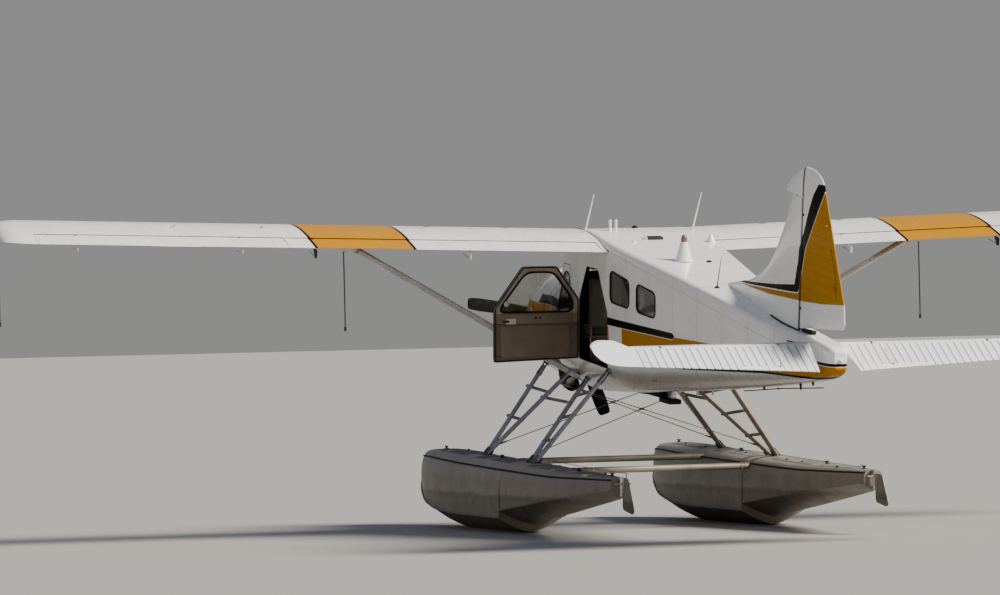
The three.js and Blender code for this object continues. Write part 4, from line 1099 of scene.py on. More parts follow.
def door_set(name, leaf, trims, outline, side, node, at=None):
    """The leaf, fittings and pane of one door, mirrored for the starboard side."""
    pane = combined(glass_skin, [prism(shrunk(outline, PANE_PLAY))], "INTERSECT")
    flip = (lambda shape: shape) if side == "left" else (lambda shape: shape.mirrored())
    body = f"{node}_{side}"
    piece(f"{name}_leaf_{side}", flip(leaf), LEAF_KINDS, body, node=body, slot="white_paint", sharp=28, at=at)
    piece(f"{name}_fittings_{side}", flip(trims), FITTING_KINDS, body, slot="panel_black", at=at)
    piece(f"{name}_pane_{side}", flip(pane), [GLASS], body, node=f"{node}_window_{side}", slot="window_glass", at=at)


door_set("cabin_hatch", cabin_leaf, cabin_fittings, cabin_window, "left", "cabin_door", OPEN)
door_set("cabin_hatch", cabin_leaf, cabin_fittings, cabin_window, "right", "cabin_door")
for side in ("left", "right"):
    door_set("crew_hatch", crew_leaf, crew_fittings, crew_window, side, "crew_door")


# ---------------------------------------------------------------- nose, cowling, engine, propeller

COWL_OUTLINE = [(0.432, 0.232), (0.452, 0.185), (0.500, 0.170), (0.560, 0.205), (0.612, 0.300), (0.636, 0.470),
                (0.640, 0.800), (0.632, 0.950), (0.620, 0.950), (0.627, 0.800), (0.624, 0.470), (0.600, 0.310),
                (0.540, 0.240)]


def softened(outline, rounds=2):
    """A closed outline with its corners cut until it runs smoothly."""
    for _ in range(rounds):
        outline = [tuple(V(a).lerp(V(b), t)) for a, b in zip(outline, outline[1:] + outline[:1])
                   for t in (0.25, 0.75)]
    return outline


COWL_RADIUS = [(0.17, 0.50), (0.205, 0.56), (0.3, 0.612), (0.47, 0.636), (0.8, 0.64), (0.95, 0.632)]
cowl = Shape()
cowl.loft([[V((r * cos(a), y, r * sin(a))) for r, y in softened(COWL_OUTLINE)] for a in circle(96)], ends=False)
# The inside gets the black panel material, as painted shade
cowl.recolour(lambda p: p.y > 0.236 and math.hypot(p.x, p.z) < 0.994 * straight_row(COWL_RADIUS, p.y)[0], 3)
cowl.lathe([(0.6395, 0.56), (0.6425, 0.562), (0.6425, 0.592), (0.640, 0.594)], 1, 96)
for a in around(6):
    turn = Matrix.Rotation(a + 0.3, 4, "Y")
    cowl.box((-0.03, 0.545, 0.634), (0.03, 0.61, 0.652), 2, 0.004, turn)
    cowl.box((-0.008, 0.50, 0.640), (0.008, 0.66, 0.650), 2, 0.003, turn)
piece("cowl_ring", cowl, [COWL_PAINT, COWL_PAINT, SILVER, PANEL], "airframe", node="engine_cowl", slot="yellow_paint",
      sharp=50)

# Cowl flaps: gills between the cowl's rim and the nose skin, on the sides and below
gills = Shape()
for side_sign in (1, -1):
    for k in range(7):
        a0 = radians(-38 + 17.5 * k)
        rows = []
        for along, radius in ((0.948, 0.622), (1.0, 0.616), (1.06, 0.615), (1.10, 0.617)):
            arc = np.linspace(a0, a0 + radians(16), 7)
            outer = [V((side_sign * radius * cos(a), along, radius * sin(a))) for a in arc]
            inner = [V((side_sign * (radius - 0.006) * cos(a), along, (radius - 0.006) * sin(a))) for a in arc[::-1]]
            rows.append(outer + inner)
        gills.loft(rows)
piece("cowl_gills", gills, [COWL_PAINT], "airframe", slot="yellow_paint")

NOSE_FRONT, NOSE_SKIN = 0.86, 0.012


def nose_ring(share, inset):
    """A section of the nose skin, between the cowl's round mouth (0) and the firewall (1)."""
    front = (0.56, 0.56, -0.56, 0.545, 0.545)
    back = FUSELAGE[0][1:]
    eased = share * share * (3 - 2 * share) * 0.35 + share * 0.65
    values = [a + (b - a) * eased for a, b in zip(front, back)]
    return section_ring(NOSE_FRONT + share * (FIREWALL - 0.0003 - NOSE_FRONT), *values, inset=inset)


nose = Shape()
shares = np.linspace(0, 1, 12)
nose.loft([nose_ring(s, 0) for s in shares] + [nose_ring(s, NOSE_SKIN) for s in shares[::-1]] + [nose_ring(0, 0)],
          ends=False)
ring = nose_ring(0.93, -0.001)
for a in around(32):
    spot = ring[int(a / (2 * pi) * len(ring)) % len(ring)]
    nose.bolt(spot, V((spot.x, 0, spot.z)), 0.008, 0.004, 1)
belt = nose_ring(0.80, -0.002)
nose.tube([*belt, belt[0], belt[1]], 0.004, 1, 8, up=V((0, 1, 0)))
piece("nose_skin", nose, [COWL_PAINT, SILVER], "airframe", node="nose_cowling", slot="white_paint", sharp=40)

# Engine: crankcase, nine finned cylinders with rocker boxes, pushrod tubes and a collector ring
CYLINDERS, CYLINDER_STATION = 9, 0.52
motor = Shape()
motor.lathe([(0.0, -0.06), (0.03, -0.06), (0.03, 0.165), (0.085, 0.168), (0.095, 0.18), (0.105, 0.32), (0.115, 0.335),
             (0.205, 0.365), (0.230, 0.38), (0.247, 0.41), (0.250, 0.43), (0.250, 0.62), (0.245, 0.64), (0.180, 0.70),
             (0.18, FIREWALL - 0.001), (0.0, FIREWALL - 0.001)], 0, 64)
for a in around(16):
    for reach, front, radius in ((0.105, 0.325, 0.008), (0.216, 0.372, 0.009)):
        motor.bolt((reach * cos(a), front, reach * sin(a)), (0, -1, 0), radius, 0.012, 1)
barrel = Shape()
fin_line = [(0.060, 0.235)]
# fins: count, lowest, pitch, radius between them and at their rims, thickness at the foot
for count, lowest, pitch, bore, rim, thick in ((17, 0.245, 0.0112, 0.060, 0.0715, 0.004),
                                               (8, 0.437, 0.0145, 0.066, 0.0855, 0.0045)):
    for low in (lowest + pitch * k for k in range(count)):
        fin_line += [(bore, low), (rim, low + 0.001), (rim, low + thick - 0.001), (bore, low + thick)]
fin_line += [(0.066, 0.556), (0.060, 0.575)]
barrel.lathe(fin_line, 0, 28, axis=(0, 0, 1))
for sx in (-0.030, 0.030):
    barrel.box((sx - 0.022, -0.050, 0.560), (sx + 0.022, 0.050, 0.604), 1, 0.012)
    barrel.tube([(sx, -0.112, 0.30), (sx, -0.096, 0.43), (sx, -0.060, 0.575)], 0.0085, 1, 10)
    barrel.bolt((sx, 0, 0.602), (0, 0, 1), 0.009, 0.008, 1)
barrel.tube([(0.055, 0.06, 0.545), (0.085, 0.10, 0.50), (0.10, 0.13, 0.40), (0.10, 0.12, 0.30), (0.08, 0.08, 0.26)],
            0.022, 2, 14)
for a in around(CYLINDERS):
    motor.merge(barrel, Matrix.Translation((0, CYLINDER_STATION, 0)) @ Matrix.Rotation(a, 4, "Y"))
# The exhaust collector behind the cylinders and the ignition ring ahead of them: radius, station, thickness
for radius, station, thick, sides in ((0.40, 0.72, 0.035, 14), (0.33, 0.335, 0.010, 10)):
    motor.tube([(radius * cos(a), station, radius * sin(a)) for a in circle(48)], thick, 2, sides, up=V((0, 1, 0)))
piece("radial_engine", motor, [ENGINE_METAL, SILVER, BURNT], "airframe", node="engine", slot="engine_metal")

EXHAUST_RADIUS = 0.085
bend = [V(p) for p in ((0.355, 1.00, -0.34), (0.362, 1.05, -0.45), (0.368, 1.09, -0.55), (0.372, 1.15, -0.610),
                       (0.374, 1.24, -0.630), (0.375, 1.34, -0.640))]
path = []
for a, b in zip(bend, bend[1:]):
    path += [a.lerp(b, t) for t in (0, 0.33, 0.66)]
path.append(bend[-1])
bore = Shape().tube(path[-6:] + [path[-1] + (path[-1] - path[-2]) * 0.3], EXHAUST_RADIUS - 0.007, 0, 28)
pipe = combined(Shape().tube(path, EXHAUST_RADIUS, 0, 28), [bore])
for spot in (4, 11):
    band = Shape().tube([path[spot], path[spot + 1] * 0.35 + path[spot] * 0.65], EXHAUST_RADIUS + 0.004, 0, 28)
    pipe.merge(band, kind=1)
piece("exhaust_stack", pipe, [BURNT, SILVER], "airframe", node="exhaust_pipe", slot="burnt_steel")

# Propeller
BLADES, FIRST_BLADE = 3, 8.5
HUB_LINE = [(0.0, -0.150), (0.045, -0.148), (0.060, -0.140), (0.074, -0.115), (0.085, -0.090), (0.095, -0.060),
            (0.103, -0.03), (0.105, 0.0), (0.103, 0.03), (0.095, 0.060), (0.088, 0.10), (0.080, 0.150), (0.0, 0.150)]
# distance from the hub's axis, chord, thickness, blade angle in degrees
BLADE_SECTIONS = [(0.1903, 0.092, 0.092, 45), (0.300, 0.102, 0.062, 42), (0.450, 0.122, 0.042, 38),
                  (0.640, 0.142, 0.030, 33), (0.870, 0.156, 0.020, 27), (1.050, 0.156, 0.015, 23),
                  (1.170, 0.142, 0.011, 21), (1.220, 0.120, 0.007, 20)]
hub = Shape().lathe(HUB_LINE, 0, 48)
for a in around(8) + pi / 8:
    hub.bolt((0.062 * cos(a), -0.135, 0.062 * sin(a)), (0, -1, 0), 0.009, 0.012, 1)
ferrule = Shape().lathe([(0.055, 0.06), (0.062, 0.07), (0.062, 0.135), (0.066, 0.137), (0.066, 0.150),
                         (0.062, 0.152), (0.062, 0.182), (0.058, 0.19)], 0, 36, axis=(1, 0, 0))
ferrule.lathe([(0.0655, 0.095), (0.069, 0.097), (0.069, 0.113), (0.0655, 0.115)], 1, 36, axis=(1, 0, 0))
ferrule.box((0.070, -0.100, -0.026), (0.130, -0.058, 0.026), 1, 0.006)
blade_rings = []
for reach in [*spaced(0.1903, 1.17, 0.045), 1.19, 1.205, 1.212, 1.217, 1.2195]:
    width, thickness, angle = table_row(BLADE_SECTIONS, reach)
    if reach > 1.205:
        width *= math.sqrt(max(1 - ((reach - 1.205) / 0.0165) ** 2, 0.05))
    turn = radians(angle)
    ring = []
    for a in around(28):
        across = cos(a) * width / 2
        through = sin(a) * thickness / 2 * (1 if reach < 0.25 else 0.75 + 0.25 * cos(a))
        ring.append(V((reach, through * cos(turn) - across * sin(turn), across * cos(turn) + through * sin(turn))))
    blade_rings.append(ring)
blade = Shape().loft(blade_rings)
for k in range(BLADES):
    turn = Matrix.Rotation(radians(-FIRST_BLADE - 360 / BLADES * k), 4, "Y")
    hub.merge(ferrule, turn)
    piece(f"airscrew_blade_{k + 1}", Shape().merge(blade, turn), [BLADE], "propeller",
          node=f"propeller_blade_{k + 1}", slot="black_paint", sharp=60)
piece("airscrew_hub", hub, [PANEL, SILVER], "propeller", node="propeller_hub", slot="black_paint")


# ---------------------------------------------------------------- wings

def wing_place(x, share, side):
    """A point of the flat wing's surface."""
    lead, trail, fullness = table_row(WING_SECTIONS, x)
    return V((x, LEADING_EDGE + lead + share * (CHORD - lead - trail), aerofoil(share, side) * CHORD * fullness))


ROUND_SHARES = [(1 - cos(pi * i / 22)) / 2 for i in range(23)]
LIP_CUT = 0.026


def full_ring(x):
    """The whole section of the wing."""
    upper = [wing_place(x, s, 1) for s in ROUND_SHARES[1:]]
    lower = [wing_place(x, s, -1) for s in ROUND_SHARES[::-1]]
    return upper + lower


def bay_ring(x):
    """The section ahead of a flap or an aileron, with the round cove that its nose turns in."""
    cove = HINGE_NOSE + HINGE_GAP
    top_end = (WING_HINGE.y - LEADING_EDGE) / CHORD
    low_end = (WING_HINGE.y - cove * 0.92 - LIP_CUT * 0.3 - LEADING_EDGE) / CHORD
    upper = [wing_place(x, s, 1) for s in [*[s for s in ROUND_SHARES[1:] if s < top_end - 0.01], top_end]]
    lower = [wing_place(x, s, -1) for s in [low_end, *[s for s in ROUND_SHARES[::-1] if s < low_end - 0.01]]]
    arc = [V((x, WING_HINGE.y - cove * sin(a), WING_HINGE.z + cove * cos(a)))
           for a in np.linspace(radians(12), radians(128), 8)]
    return upper + arc + lower


LUG_HALF, SLOT_HALF = 0.007, 0.013


def hinge_lug(shape, at, radius, reach, half, axis=(1, 0, 0)):
    """An eye on a hinge line, with the arm that carries it from ahead."""
    shape.lathe([(0.0005, -LUG_HALF), (radius, -LUG_HALF), (radius, LUG_HALF), (0.0005, LUG_HALF)], 1, 18, at, axis)
    side = V((LUG_HALF, 0, half)) if axis[0] else V((half, 0, LUG_HALF))
    shape.box(V(at) - side - V((0, reach, 0)), V(at) + side, 1, 0.003)


def between_lugs(start, lugs, end):
    """The stretches of a hinged surface beside the slots for its lugs, as (low, high)."""
    edges = [start, *(spot + d for spot in lugs for d in (-SLOT_HALF, SLOT_HALF)), end]
    return zip(edges[::2], edges[1::2])


def behind_lugs(shape, lugs, ring_at, front):
    """The skin of a hinged surface behind each slot."""
    for spot in lugs:
        shape.loft([[V((p.x, max(p.y, front), p.z)) for p in ring_at(spot + d)]
                    for d in (-SLOT_HALF - 0.0001, SLOT_HALF + 0.0001)])


wing = Shape()
flap_from, flap_to = SURFACE_SPANS["flap"]
aileron_from, aileron_to = SURFACE_SPANS["aileron"]
END_GAP = 0.008
wing.loft([full_ring(x) for x in (WING_ROOT, flap_from - END_GAP)])
wing.loft([bay_ring(x) for x in spaced(flap_from - END_GAP, flap_to + END_GAP, 0.4)])
wing.loft([full_ring(x) for x in (flap_to + END_GAP, aileron_from - END_GAP)])
wing.loft([bay_ring(x) for x in spaced(aileron_from - END_GAP, aileron_to + END_GAP, 0.4)])
tip_stations = [aileron_to + END_GAP, 6.98, 7.03, 7.08, 7.13, 7.17, 7.205, 7.235, 7.26, 7.28, 7.295, 7.305, 7.311,
                HALF_SPAN]
wing.loft([full_ring(x) for x in tip_stations])
for x, aft in TIE_DOWNS:
    floor = tie_down_floor(x, aft)
    y = LEADING_EDGE + aft
    wing.box((x - 0.02, y - 0.02, floor), (x + 0.02, y + 0.02, floor + 0.08), 1, 0.005)
    wing.lathe([(0.034, -0.004), (0.034, 0.003), (0.030, 0.005)], 1, 20, (x, y, floor + 0.052), (0, 0, -1))
for x in (x for lugs in SURFACE_HORNS.values() for x in lugs):
    hinge_lug(wing, (x, WING_HINGE.y, WING_HINGE.z), 0.016, 0.09, 0.013)
# Fuel fillers, inspection plates under the wing, small vents and the lamp at the tip
for x in (1.5, 2.4):
    p = wing_place(x, 0.35, 1)
    wing.lathe([(0.045, -0.004), (0.045, 0.003), (0.038, 0.005), (0.0, 0.005)], 1, 28, p, (0, 0, 1))
for x in (1.3, 3.1, 5.0, 6.3):
    p = wing_place(x, 0.5, -1)
    wing.lathe([(0.075, -0.004), (0.075, 0.0015), (0.070, 0.0025), (0.0, 0.0025)], 0, 32, p, (0, 0, -1))
for x in (4.35, 5.32):
    p = wing_place(x, 0.55, 1)
    wing.tube([p, p + V((0, 0.01, 0.022)), p + V((0, 0.035, 0.035))], [0.012, 0.011, 0.009], 1, 12)
LAMP = 3
wing.loft([[V((7.262 + dx, LEADING_EDGE + 0.36 + r * cos(a), 0.055 + r * 0.5 * sin(a)))
            for a in around(20)]
           for dx, r in ((0.0, 0.058), (0.03, 0.055), (0.042, 0.042), (0.049, 0.018))], LAMP)


def raised(shape):
    """A shape drawn about the flat wing's chord line, lifted to the wing's height and dihedral."""
    return Shape().merge(shape, DIHEDRAL)


port_wing = raised(wing)
starboard_wing = port_wing.mirrored()
p = wing_place(5.9, 0.02, -1)
pitot = Shape().tube([p + V((0, 0.02, 0)), p + V((0, 0.01, -0.06)), p + V((0, -0.02, -0.075)),
                      p + V((0, -0.07, -0.075))], [0.010, 0.010, 0.009, 0.006], 1, 14)
port_wing.merge(raised(pitot))
piece("main_plane_left", port_wing, [WING_PAINT, SILVER, RUBBER, RED_LIGHT], "airframe", node="wing_left",
      slot="white_paint", sharp=30)
piece("main_plane_right", starboard_wing, [WING_PAINT, SILVER, RUBBER, GREEN_LIGHT], "airframe",
      node="wing_right", slot="white_paint", sharp=30)

TRAILING_AFT = LEADING_EDGE + CHORD - WING_HINGE.y


def surface_ring(x, hinge, nose, aft, tail_up=0.0, tail_half=0.003):
    """A control surface: a round nose about the hinge line, then nearly flat faces to a thin edge."""
    ring = [V((x, hinge.y + nose * cos(a), hinge.z + nose * sin(a))) for a in np.linspace(pi / 2, 3 * pi / 2, 13)]
    lower, upper = [], []
    for t in np.linspace(0, 1, 11)[1:]:
        y = hinge.y + t * aft
        swell = nose * (1 - t) + tail_half * t + 0.0022 * sin(pi * t)
        lower.append(V((x, y, hinge.z + tail_up * t - swell)))
        upper.append(V((x, y, hinge.z + tail_up * t + swell)))
    return ring + lower + upper[::-1]


def wing_surface_ring(x):
    return surface_ring(x, WING_HINGE, HINGE_NOSE, TRAILING_AFT, -WING_HINGE.z)


for span, (start, end) in SURFACE_SPANS.items():
    shape = Shape()
    for low, high in between_lugs(start, SURFACE_HORNS[span], end):
        shape.loft([wing_surface_ring(x) for x in spaced(low, high, 0.5)])
    behind_lugs(shape, SURFACE_HORNS[span], wing_surface_ring, WING_HINGE.y + 0.052)
    depth = 1.0 if span == "flap" else 0.55
    for x in SURFACE_HORNS[span]:
        horn = [(WING_HINGE.y + aft, up - down * depth) for aft, up, down in
                ((0.17, -0.012, 0), (0.295, -0.030, 0), (0.280, -0.030, 0.085), (0.245, -0.032, 0.085))]
        shape.plate(rounded(horn, 0.012, 3), x + 0.016, x + 0.030, 0)
        shape.tube([(x + 0.023, WING_HINGE.y + 0.26, -0.030 - 0.075 * depth),
                    (x + 0.023, WING_HINGE.y - 0.02, -0.060)], 0.004, 1, 10)
    if span == "aileron":
        trailing = WING_HINGE.y + TRAILING_AFT
        shape.box((5.2, trailing - 0.004, -0.004), (5.75, trailing + 0.035, -0.001), 0, 0.001)
    pair(f"{span}_skin", raised(shape), [WING_PAINT, STRUT], f"{span}_{{}}", node=f"{span}_{{}}", slot="white_paint")


# ---------------------------------------------------------------- tail

TAIL_HINGE = V((0, 8.565, 0.403))
TAIL_NOSE, TAILPLANE_HALF = 0.030, 0.042
TAIL_PROFILE = [(0, 0), (0.04, 0.5), (0.16, 0.82), (0.45, 1), (1, 0.82)]
PROFILE_SHARES = [0.004, 0.015, 0.04, 0.08, 0.14, 0.22, 0.32, 0.45, 0.6, 0.75, 0.88, 1.0]


def tail_ring(leading, hinge, half, cove, place):
    """A tail section with a round leading edge, hollowed at the back for the nose of what hinges there."""
    upper = []
    for share in PROFILE_SHARES:
        height = smooth(TAIL_PROFILE, share) if share > 0.04 else 0.5 * math.sqrt(share / 0.04)
        upper.append((leading + share * (hinge - leading), height * half))
    last = upper[-1][1]
    start = math.acos(min(last / cove, 1)) if cove > last else 0.0
    inner = [(hinge - cove * sin(a), cove * cos(a)) for a in np.linspace(start + 0.15, pi - start - 0.15, 7)]
    outline = [(leading, 0.0), *upper, *inner, *[(y, -up) for y, up in upper[::-1]]]
    return [place(y, up) for y, up in outline]


TAILPLANE_FALL = 0.092  # how much lower the tailplane gets for each step ahead of the hinge
# x, leading edge station, share of the thickness
TAILPLANE = [(0.100, 7.640, 1.0), (1.850, 7.850, 0.9), (1.990, 7.905, 0.8), (2.040, 8.000, 0.55)]
TAIL_LUGS = (0.500, 1.750)


def tailplane_ring(x):
    """Across the tailplane, which falls forward from the hinge."""
    leading, fullness = straight_row(TAILPLANE, x)
    return tail_ring(leading, TAIL_HINGE.y, TAILPLANE_HALF * fullness, TAIL_NOSE + HINGE_GAP,
                     lambda y, up: V((x, y, TAIL_HINGE.z + up - (TAIL_HINGE.y - y) * TAILPLANE_FALL)))


tailplane = Shape().loft([tailplane_ring(x) for x in
                          [*spaced(0.1, 1.85, 0.35), 1.92, 1.96, 1.99, 2.01, 2.03, 2.04]])
for x in TAIL_LUGS:
    hinge_lug(tailplane, (x, TAIL_HINGE.y, TAIL_HINGE.z), 0.015, 0.07, 0.012)
pair("stabiliser", tailplane, [TAIL_PAINT, STRUT], "airframe", node="tailplane_{}", slot="white_paint", sharp=32)

# Elevators: ribbed skins on a plain front, a tip horn ahead of the hinge and a trim tab inboard
ELEVATOR_FROM, ELEVATOR_TO, ROOT_CHORD, TIP_CHORD, INNER_SLANT = 0.16, 2.04, 0.535, 0.339, radians(6)
RIB_PITCH, RIB_SHIFT, RIB_HALF, RIB_HEIGHT = 0.08, 0.012, 0.013, 0.0045
TAB_FROM, TAB_TO, TAB_CHORD = 0.27, 1.02, (0.105, 0.050)


def elevator_chord(x):
    """From the hinge to the trailing edge."""
    return ROOT_CHORD + (TIP_CHORD - ROOT_CHORD) * (x - ELEVATOR_FROM) / (ELEVATOR_TO + 0.06 - ELEVATOR_FROM)


def elevator_ring(x):
    """Across the elevator: raised on a rib, and slanted at its root."""
    chord = elevator_chord(x)
    ring = surface_ring(x, TAIL_HINGE, TAIL_NOSE, chord)
    off = abs((x - RIB_SHIFT + RIB_PITCH / 2) % RIB_PITCH - RIB_PITCH / 2)
    rib = 0.5 + 0.5 * cos(pi * off / RIB_HALF) if off < RIB_HALF and 0.27 < x < 2.06 else 0.0
    slant = max(0.0, 0.16 + (chord + TAIL_NOSE) * math.tan(INNER_SLANT) - x)
    shaped = []
    for p in ring:
        t = (p.y - TAIL_HINGE.y) / chord
        lift = RIB_HEIGHT * rib * min(1, max(0, (t - 0.05) / 0.08)) * (1 if t < 0.9 else 0.35)
        above = 1 if p.z >= TAIL_HINGE.z else -1
        back = -0.010 * rib if t > 0.98 and not TAB_FROM < x < TAB_TO else 0.0
        shaped.append(V((p.x + (slant * max(0, t) if slant else 0.0), p.y + back, p.z + above * lift)))
    return shaped


rib_stations = [round(RIB_SHIFT + RIB_PITCH * k + d, 4) for k in range(4, 25)
                for d in (-RIB_HALF, -RIB_HALF / 2, 0, RIB_HALF / 2, RIB_HALF)
                if ELEVATOR_FROM < RIB_SHIFT + RIB_PITCH * k + d < ELEVATOR_TO]
elevator = Shape()
for low, high in between_lugs(ELEVATOR_FROM, TAIL_LUGS, ELEVATOR_TO + 0.03):
    elevator.loft([elevator_ring(x) for x in [low, *[s for s in rib_stations if low < s < high], high]])
behind_lugs(elevator, TAIL_LUGS, elevator_ring, TAIL_HINGE.y + 0.038)
tip_front = [(2.062, 8.520), (2.130, 8.435), (2.200, 8.362), (2.330, 8.355), (2.410, 8.400), (2.455, 8.470)]
tip_back = [(2.062, 8.908), (2.200, 8.894), (2.330, 8.858), (2.410, 8.775), (2.455, 8.630)]
tip_rings = []
for x in [2.062, 2.10, 2.14, 2.18, 2.21, 2.25, 2.29, 2.33, 2.365, 2.395, 2.42, 2.44, 2.4535]:
    front, back = smooth(tip_front, x), smooth(tip_back, x)
    half = 0.028 * math.sqrt(max(1 - ((x - 2.02) / 0.445) ** 2, 0.03))
    upper = []
    for t in np.linspace(0, 1, 15)[1:]:
        swell = half * math.sqrt(min(1, t / 0.14)) if t <= 0.35 else half + (0.003 - half) * (t - 0.35) / 0.65
        upper.append((front + t * (back - front), swell))
    tip_rings.append([V((x, front, TAIL_HINGE.z)), *[V((x, y, TAIL_HINGE.z + up)) for y, up in upper],
                      *[V((x, y, TAIL_HINGE.z - up)) for y, up in upper[::-1]]])
elevator.loft(tip_rings)


def tab_end(x, depth=0.001):
    """A point that much ahead of the elevator's trailing edge."""
    return V((x, TAIL_HINGE.y + elevator_chord(x) - depth, TAIL_HINGE.z))


def tab_line(x):
    """A point on the tab's hinge line."""
    return tab_end(x, TAB_CHORD[0] + (TAB_CHORD[1] - TAB_CHORD[0]) * (x - TAB_FROM) / (TAB_TO - TAB_FROM))


for up in (1, -1):
    elevator.loft([[start + lift(up * high) for start, high in
                    ((tab_line(x), 0.002), (tab_line(x), 0.0125), (tab_end(x), 0.0045), (tab_end(x), 0.001))][::up]
                   for x in (TAB_FROM, TAB_TO)], 3)
for x in np.linspace(TAB_FROM + 0.06, TAB_TO - 0.06, 5):
    elevator.tube([tab_line(x - 0.022) + lift(0.010), tab_line(x + 0.022) + lift(0.010)], 0.0045, 1, 10)
TAB_HORN_X = 0.60
horn_foot = tab_line(TAB_HORN_X)
horn = [(horn_foot.y, horn_foot.z), (horn_foot.y + 0.035, horn_foot.z), (horn_foot.y + 0.005, horn_foot.z + 0.055)]
elevator.plate(horn, TAB_HORN_X, TAB_HORN_X + 0.004, 1)
elevator.tube([(TAB_HORN_X + 0.006, horn_foot.y + 0.006, horn_foot.z + 0.048),
               (TAB_HORN_X + 0.006, TAIL_HINGE.y + 0.12, TAIL_HINGE.z + 0.032)], 0.002, 1, 8)
REST_DROOP = radians(24.5)
DROOP = (Matrix.Translation(TAIL_HINGE) @ Matrix.Rotation(-REST_DROOP, 4, "X")
         @ Matrix.Translation(-TAIL_HINGE))
ELEVATOR_AT = AIR @ DROOP @ AIR.inverted()
pair("elevator_skin", elevator, [ELEVATOR_PAINT, STRUT, RUBBER, TAIL_PAINT], "elevators", node="elevator_{}",
     slot="white_paint", sharp=40, at=ELEVATOR_AT)

# Fin and rudder, drawn about the upright rudder hinge: distance aft of it, height along it
RUDDER_PLACE = Matrix.Translation((0, 7.916, 0.512)) @ Matrix.Rotation(radians(-4.02), 4, "X")
RUDDER_NOSE, FIN_TOP, FIN_HALF = 0.034, 1.345, 0.046
FIN_SECTIONS = [(-0.320, 2.560), (0.100, 2.529), (0.274, 1.639), (0.492, 1.103), (0.786, 0.773), (1.073, 0.542),
                (FIN_TOP, 0.369)]
fin_heights = [*spaced(-0.32, 0.1, 0.14), 0.14, 0.18, 0.22, *spaced(0.274, 1.32, 0.075), 1.335, FIN_TOP]


def fin_ring(h):
    """Across the fin at a height, thinner towards its top."""
    leading = straight_row(FIN_SECTIONS, h)[0] if h < 0.3 else smooth(FIN_SECTIONS, h)
    half = FIN_HALF * (1 - 0.1 * max(0, min(1, (h - 0.8) / 0.3))) * (0.9 if h > 1.34 else 1)
    return tail_ring(-leading, 0.0, half, RUDDER_NOSE + HINGE_GAP, lambda y, side: V((side, y, h)))


fin = Shape().loft([fin_ring(h) for h in fin_heights])
RUDDER_LUGS = (0.220, 1.180)
for height in RUDDER_LUGS:
    hinge_lug(fin, (0, 0, height), 0.016, 0.075, 0.012, (0, 0, 1))
piece("fin_skin", Shape().merge(fin, RUDDER_PLACE), [FIN_PAINT, STRUT], "airframe", node="fin", slot="white_paint",
      sharp=38)

HORN_BOTTOM = FIN_TOP + 0.014
RUDDER_BACK = [(0.020, 0.04), (0.060, 0.34), (0.120, 0.80), (0.165, 1.13), (0.185, 1.205), (0.215, 1.233),
               (0.260, 1.230), (0.423, 1.198), (1.359, 0.634), (1.541, 0.524), (1.600, 0.455), (1.640, 0.345),
               (1.666, 0.221)]
HORN_FRONT = [(HORN_BOTTOM, -0.602), (1.400, -0.585), (1.450, -0.530), (1.500, -0.455), (1.540, -0.380),
              (1.590, -0.270), (1.630, -0.165), (1.655, -0.08), (1.666, 0.0)]


def rudder_back(height):
    """How far aft of the hinge the rudder reaches."""
    return straight_row(RUDDER_BACK, height)[0]


def rudder_half(y, back):
    """Half thickness of the rudder, tapered to its trailing edge."""
    return RUDDER_NOSE + (0.005 - RUDDER_NOSE) * min(1, max(0, y) / max(back, 0.25))


def rudder_ring(height, front=None):
    """Across the rudder at a height: a round nose at the hinge, or the horn's nose ahead of it."""
    back = rudder_back(height)
    top_share = 1 - 0.45 * max(0, (height - 1.45) / 0.216) ** 2
    if front is None:
        ring = [(RUDDER_NOSE * cos(a), RUDDER_NOSE * sin(a)) for a in np.linspace(pi / 2, 3 * pi / 2, 13)]
    else:
        nose = [(front + (0.02 - front) * t, RUDDER_NOSE * top_share * min(1, math.sqrt(t / 0.35)))
                for t in (0.0, 0.01, 0.04, 0.10, 0.2, 0.4, 0.7)]
        ring = nose[::-1] + [(y, -half) for y, half in nose[1:]]
    steps = np.linspace(0.05, back, 10)[1:] if back > 0.06 else np.linspace(0.041, 0.049, 9)
    lower = [(y, -rudder_half(y, back) * top_share) for y in steps]
    ring += lower + [(y, -side) for y, side in lower[::-1]]
    return [V((side, y, height)) for y, side in ring]


RIB_GAP = 0.095
plain_heights = sorted({*spaced(0.02, 0.26, 0.02), 0.165, 0.215, 0.423, *spaced(0.30, 1.359, 0.06)})
rudder = Shape()
for low, high in between_lugs(0.02, RUDDER_LUGS, FIN_TOP + 0.007):
    rudder.loft([rudder_ring(h) for h in [low, *[s for s in plain_heights if low < s < high], high]])
behind_lugs(rudder, RUDDER_LUGS, rudder_ring, 0.042)
rudder.loft([rudder_ring(h, smooth(HORN_FRONT, h)) for h in
             [HORN_BOTTOM, 1.38, 1.40, 1.43, 1.46, 1.50, 1.54, 1.57, 1.60, 1.62, 1.64, 1.652, 1.661, 1.666]])
rudder.loft([[V((p.x, max(p.y, -0.02), p.z)) for p in rudder_ring(h)]
             for h in (FIN_TOP + 0.006, HORN_BOTTOM + 0.001)])
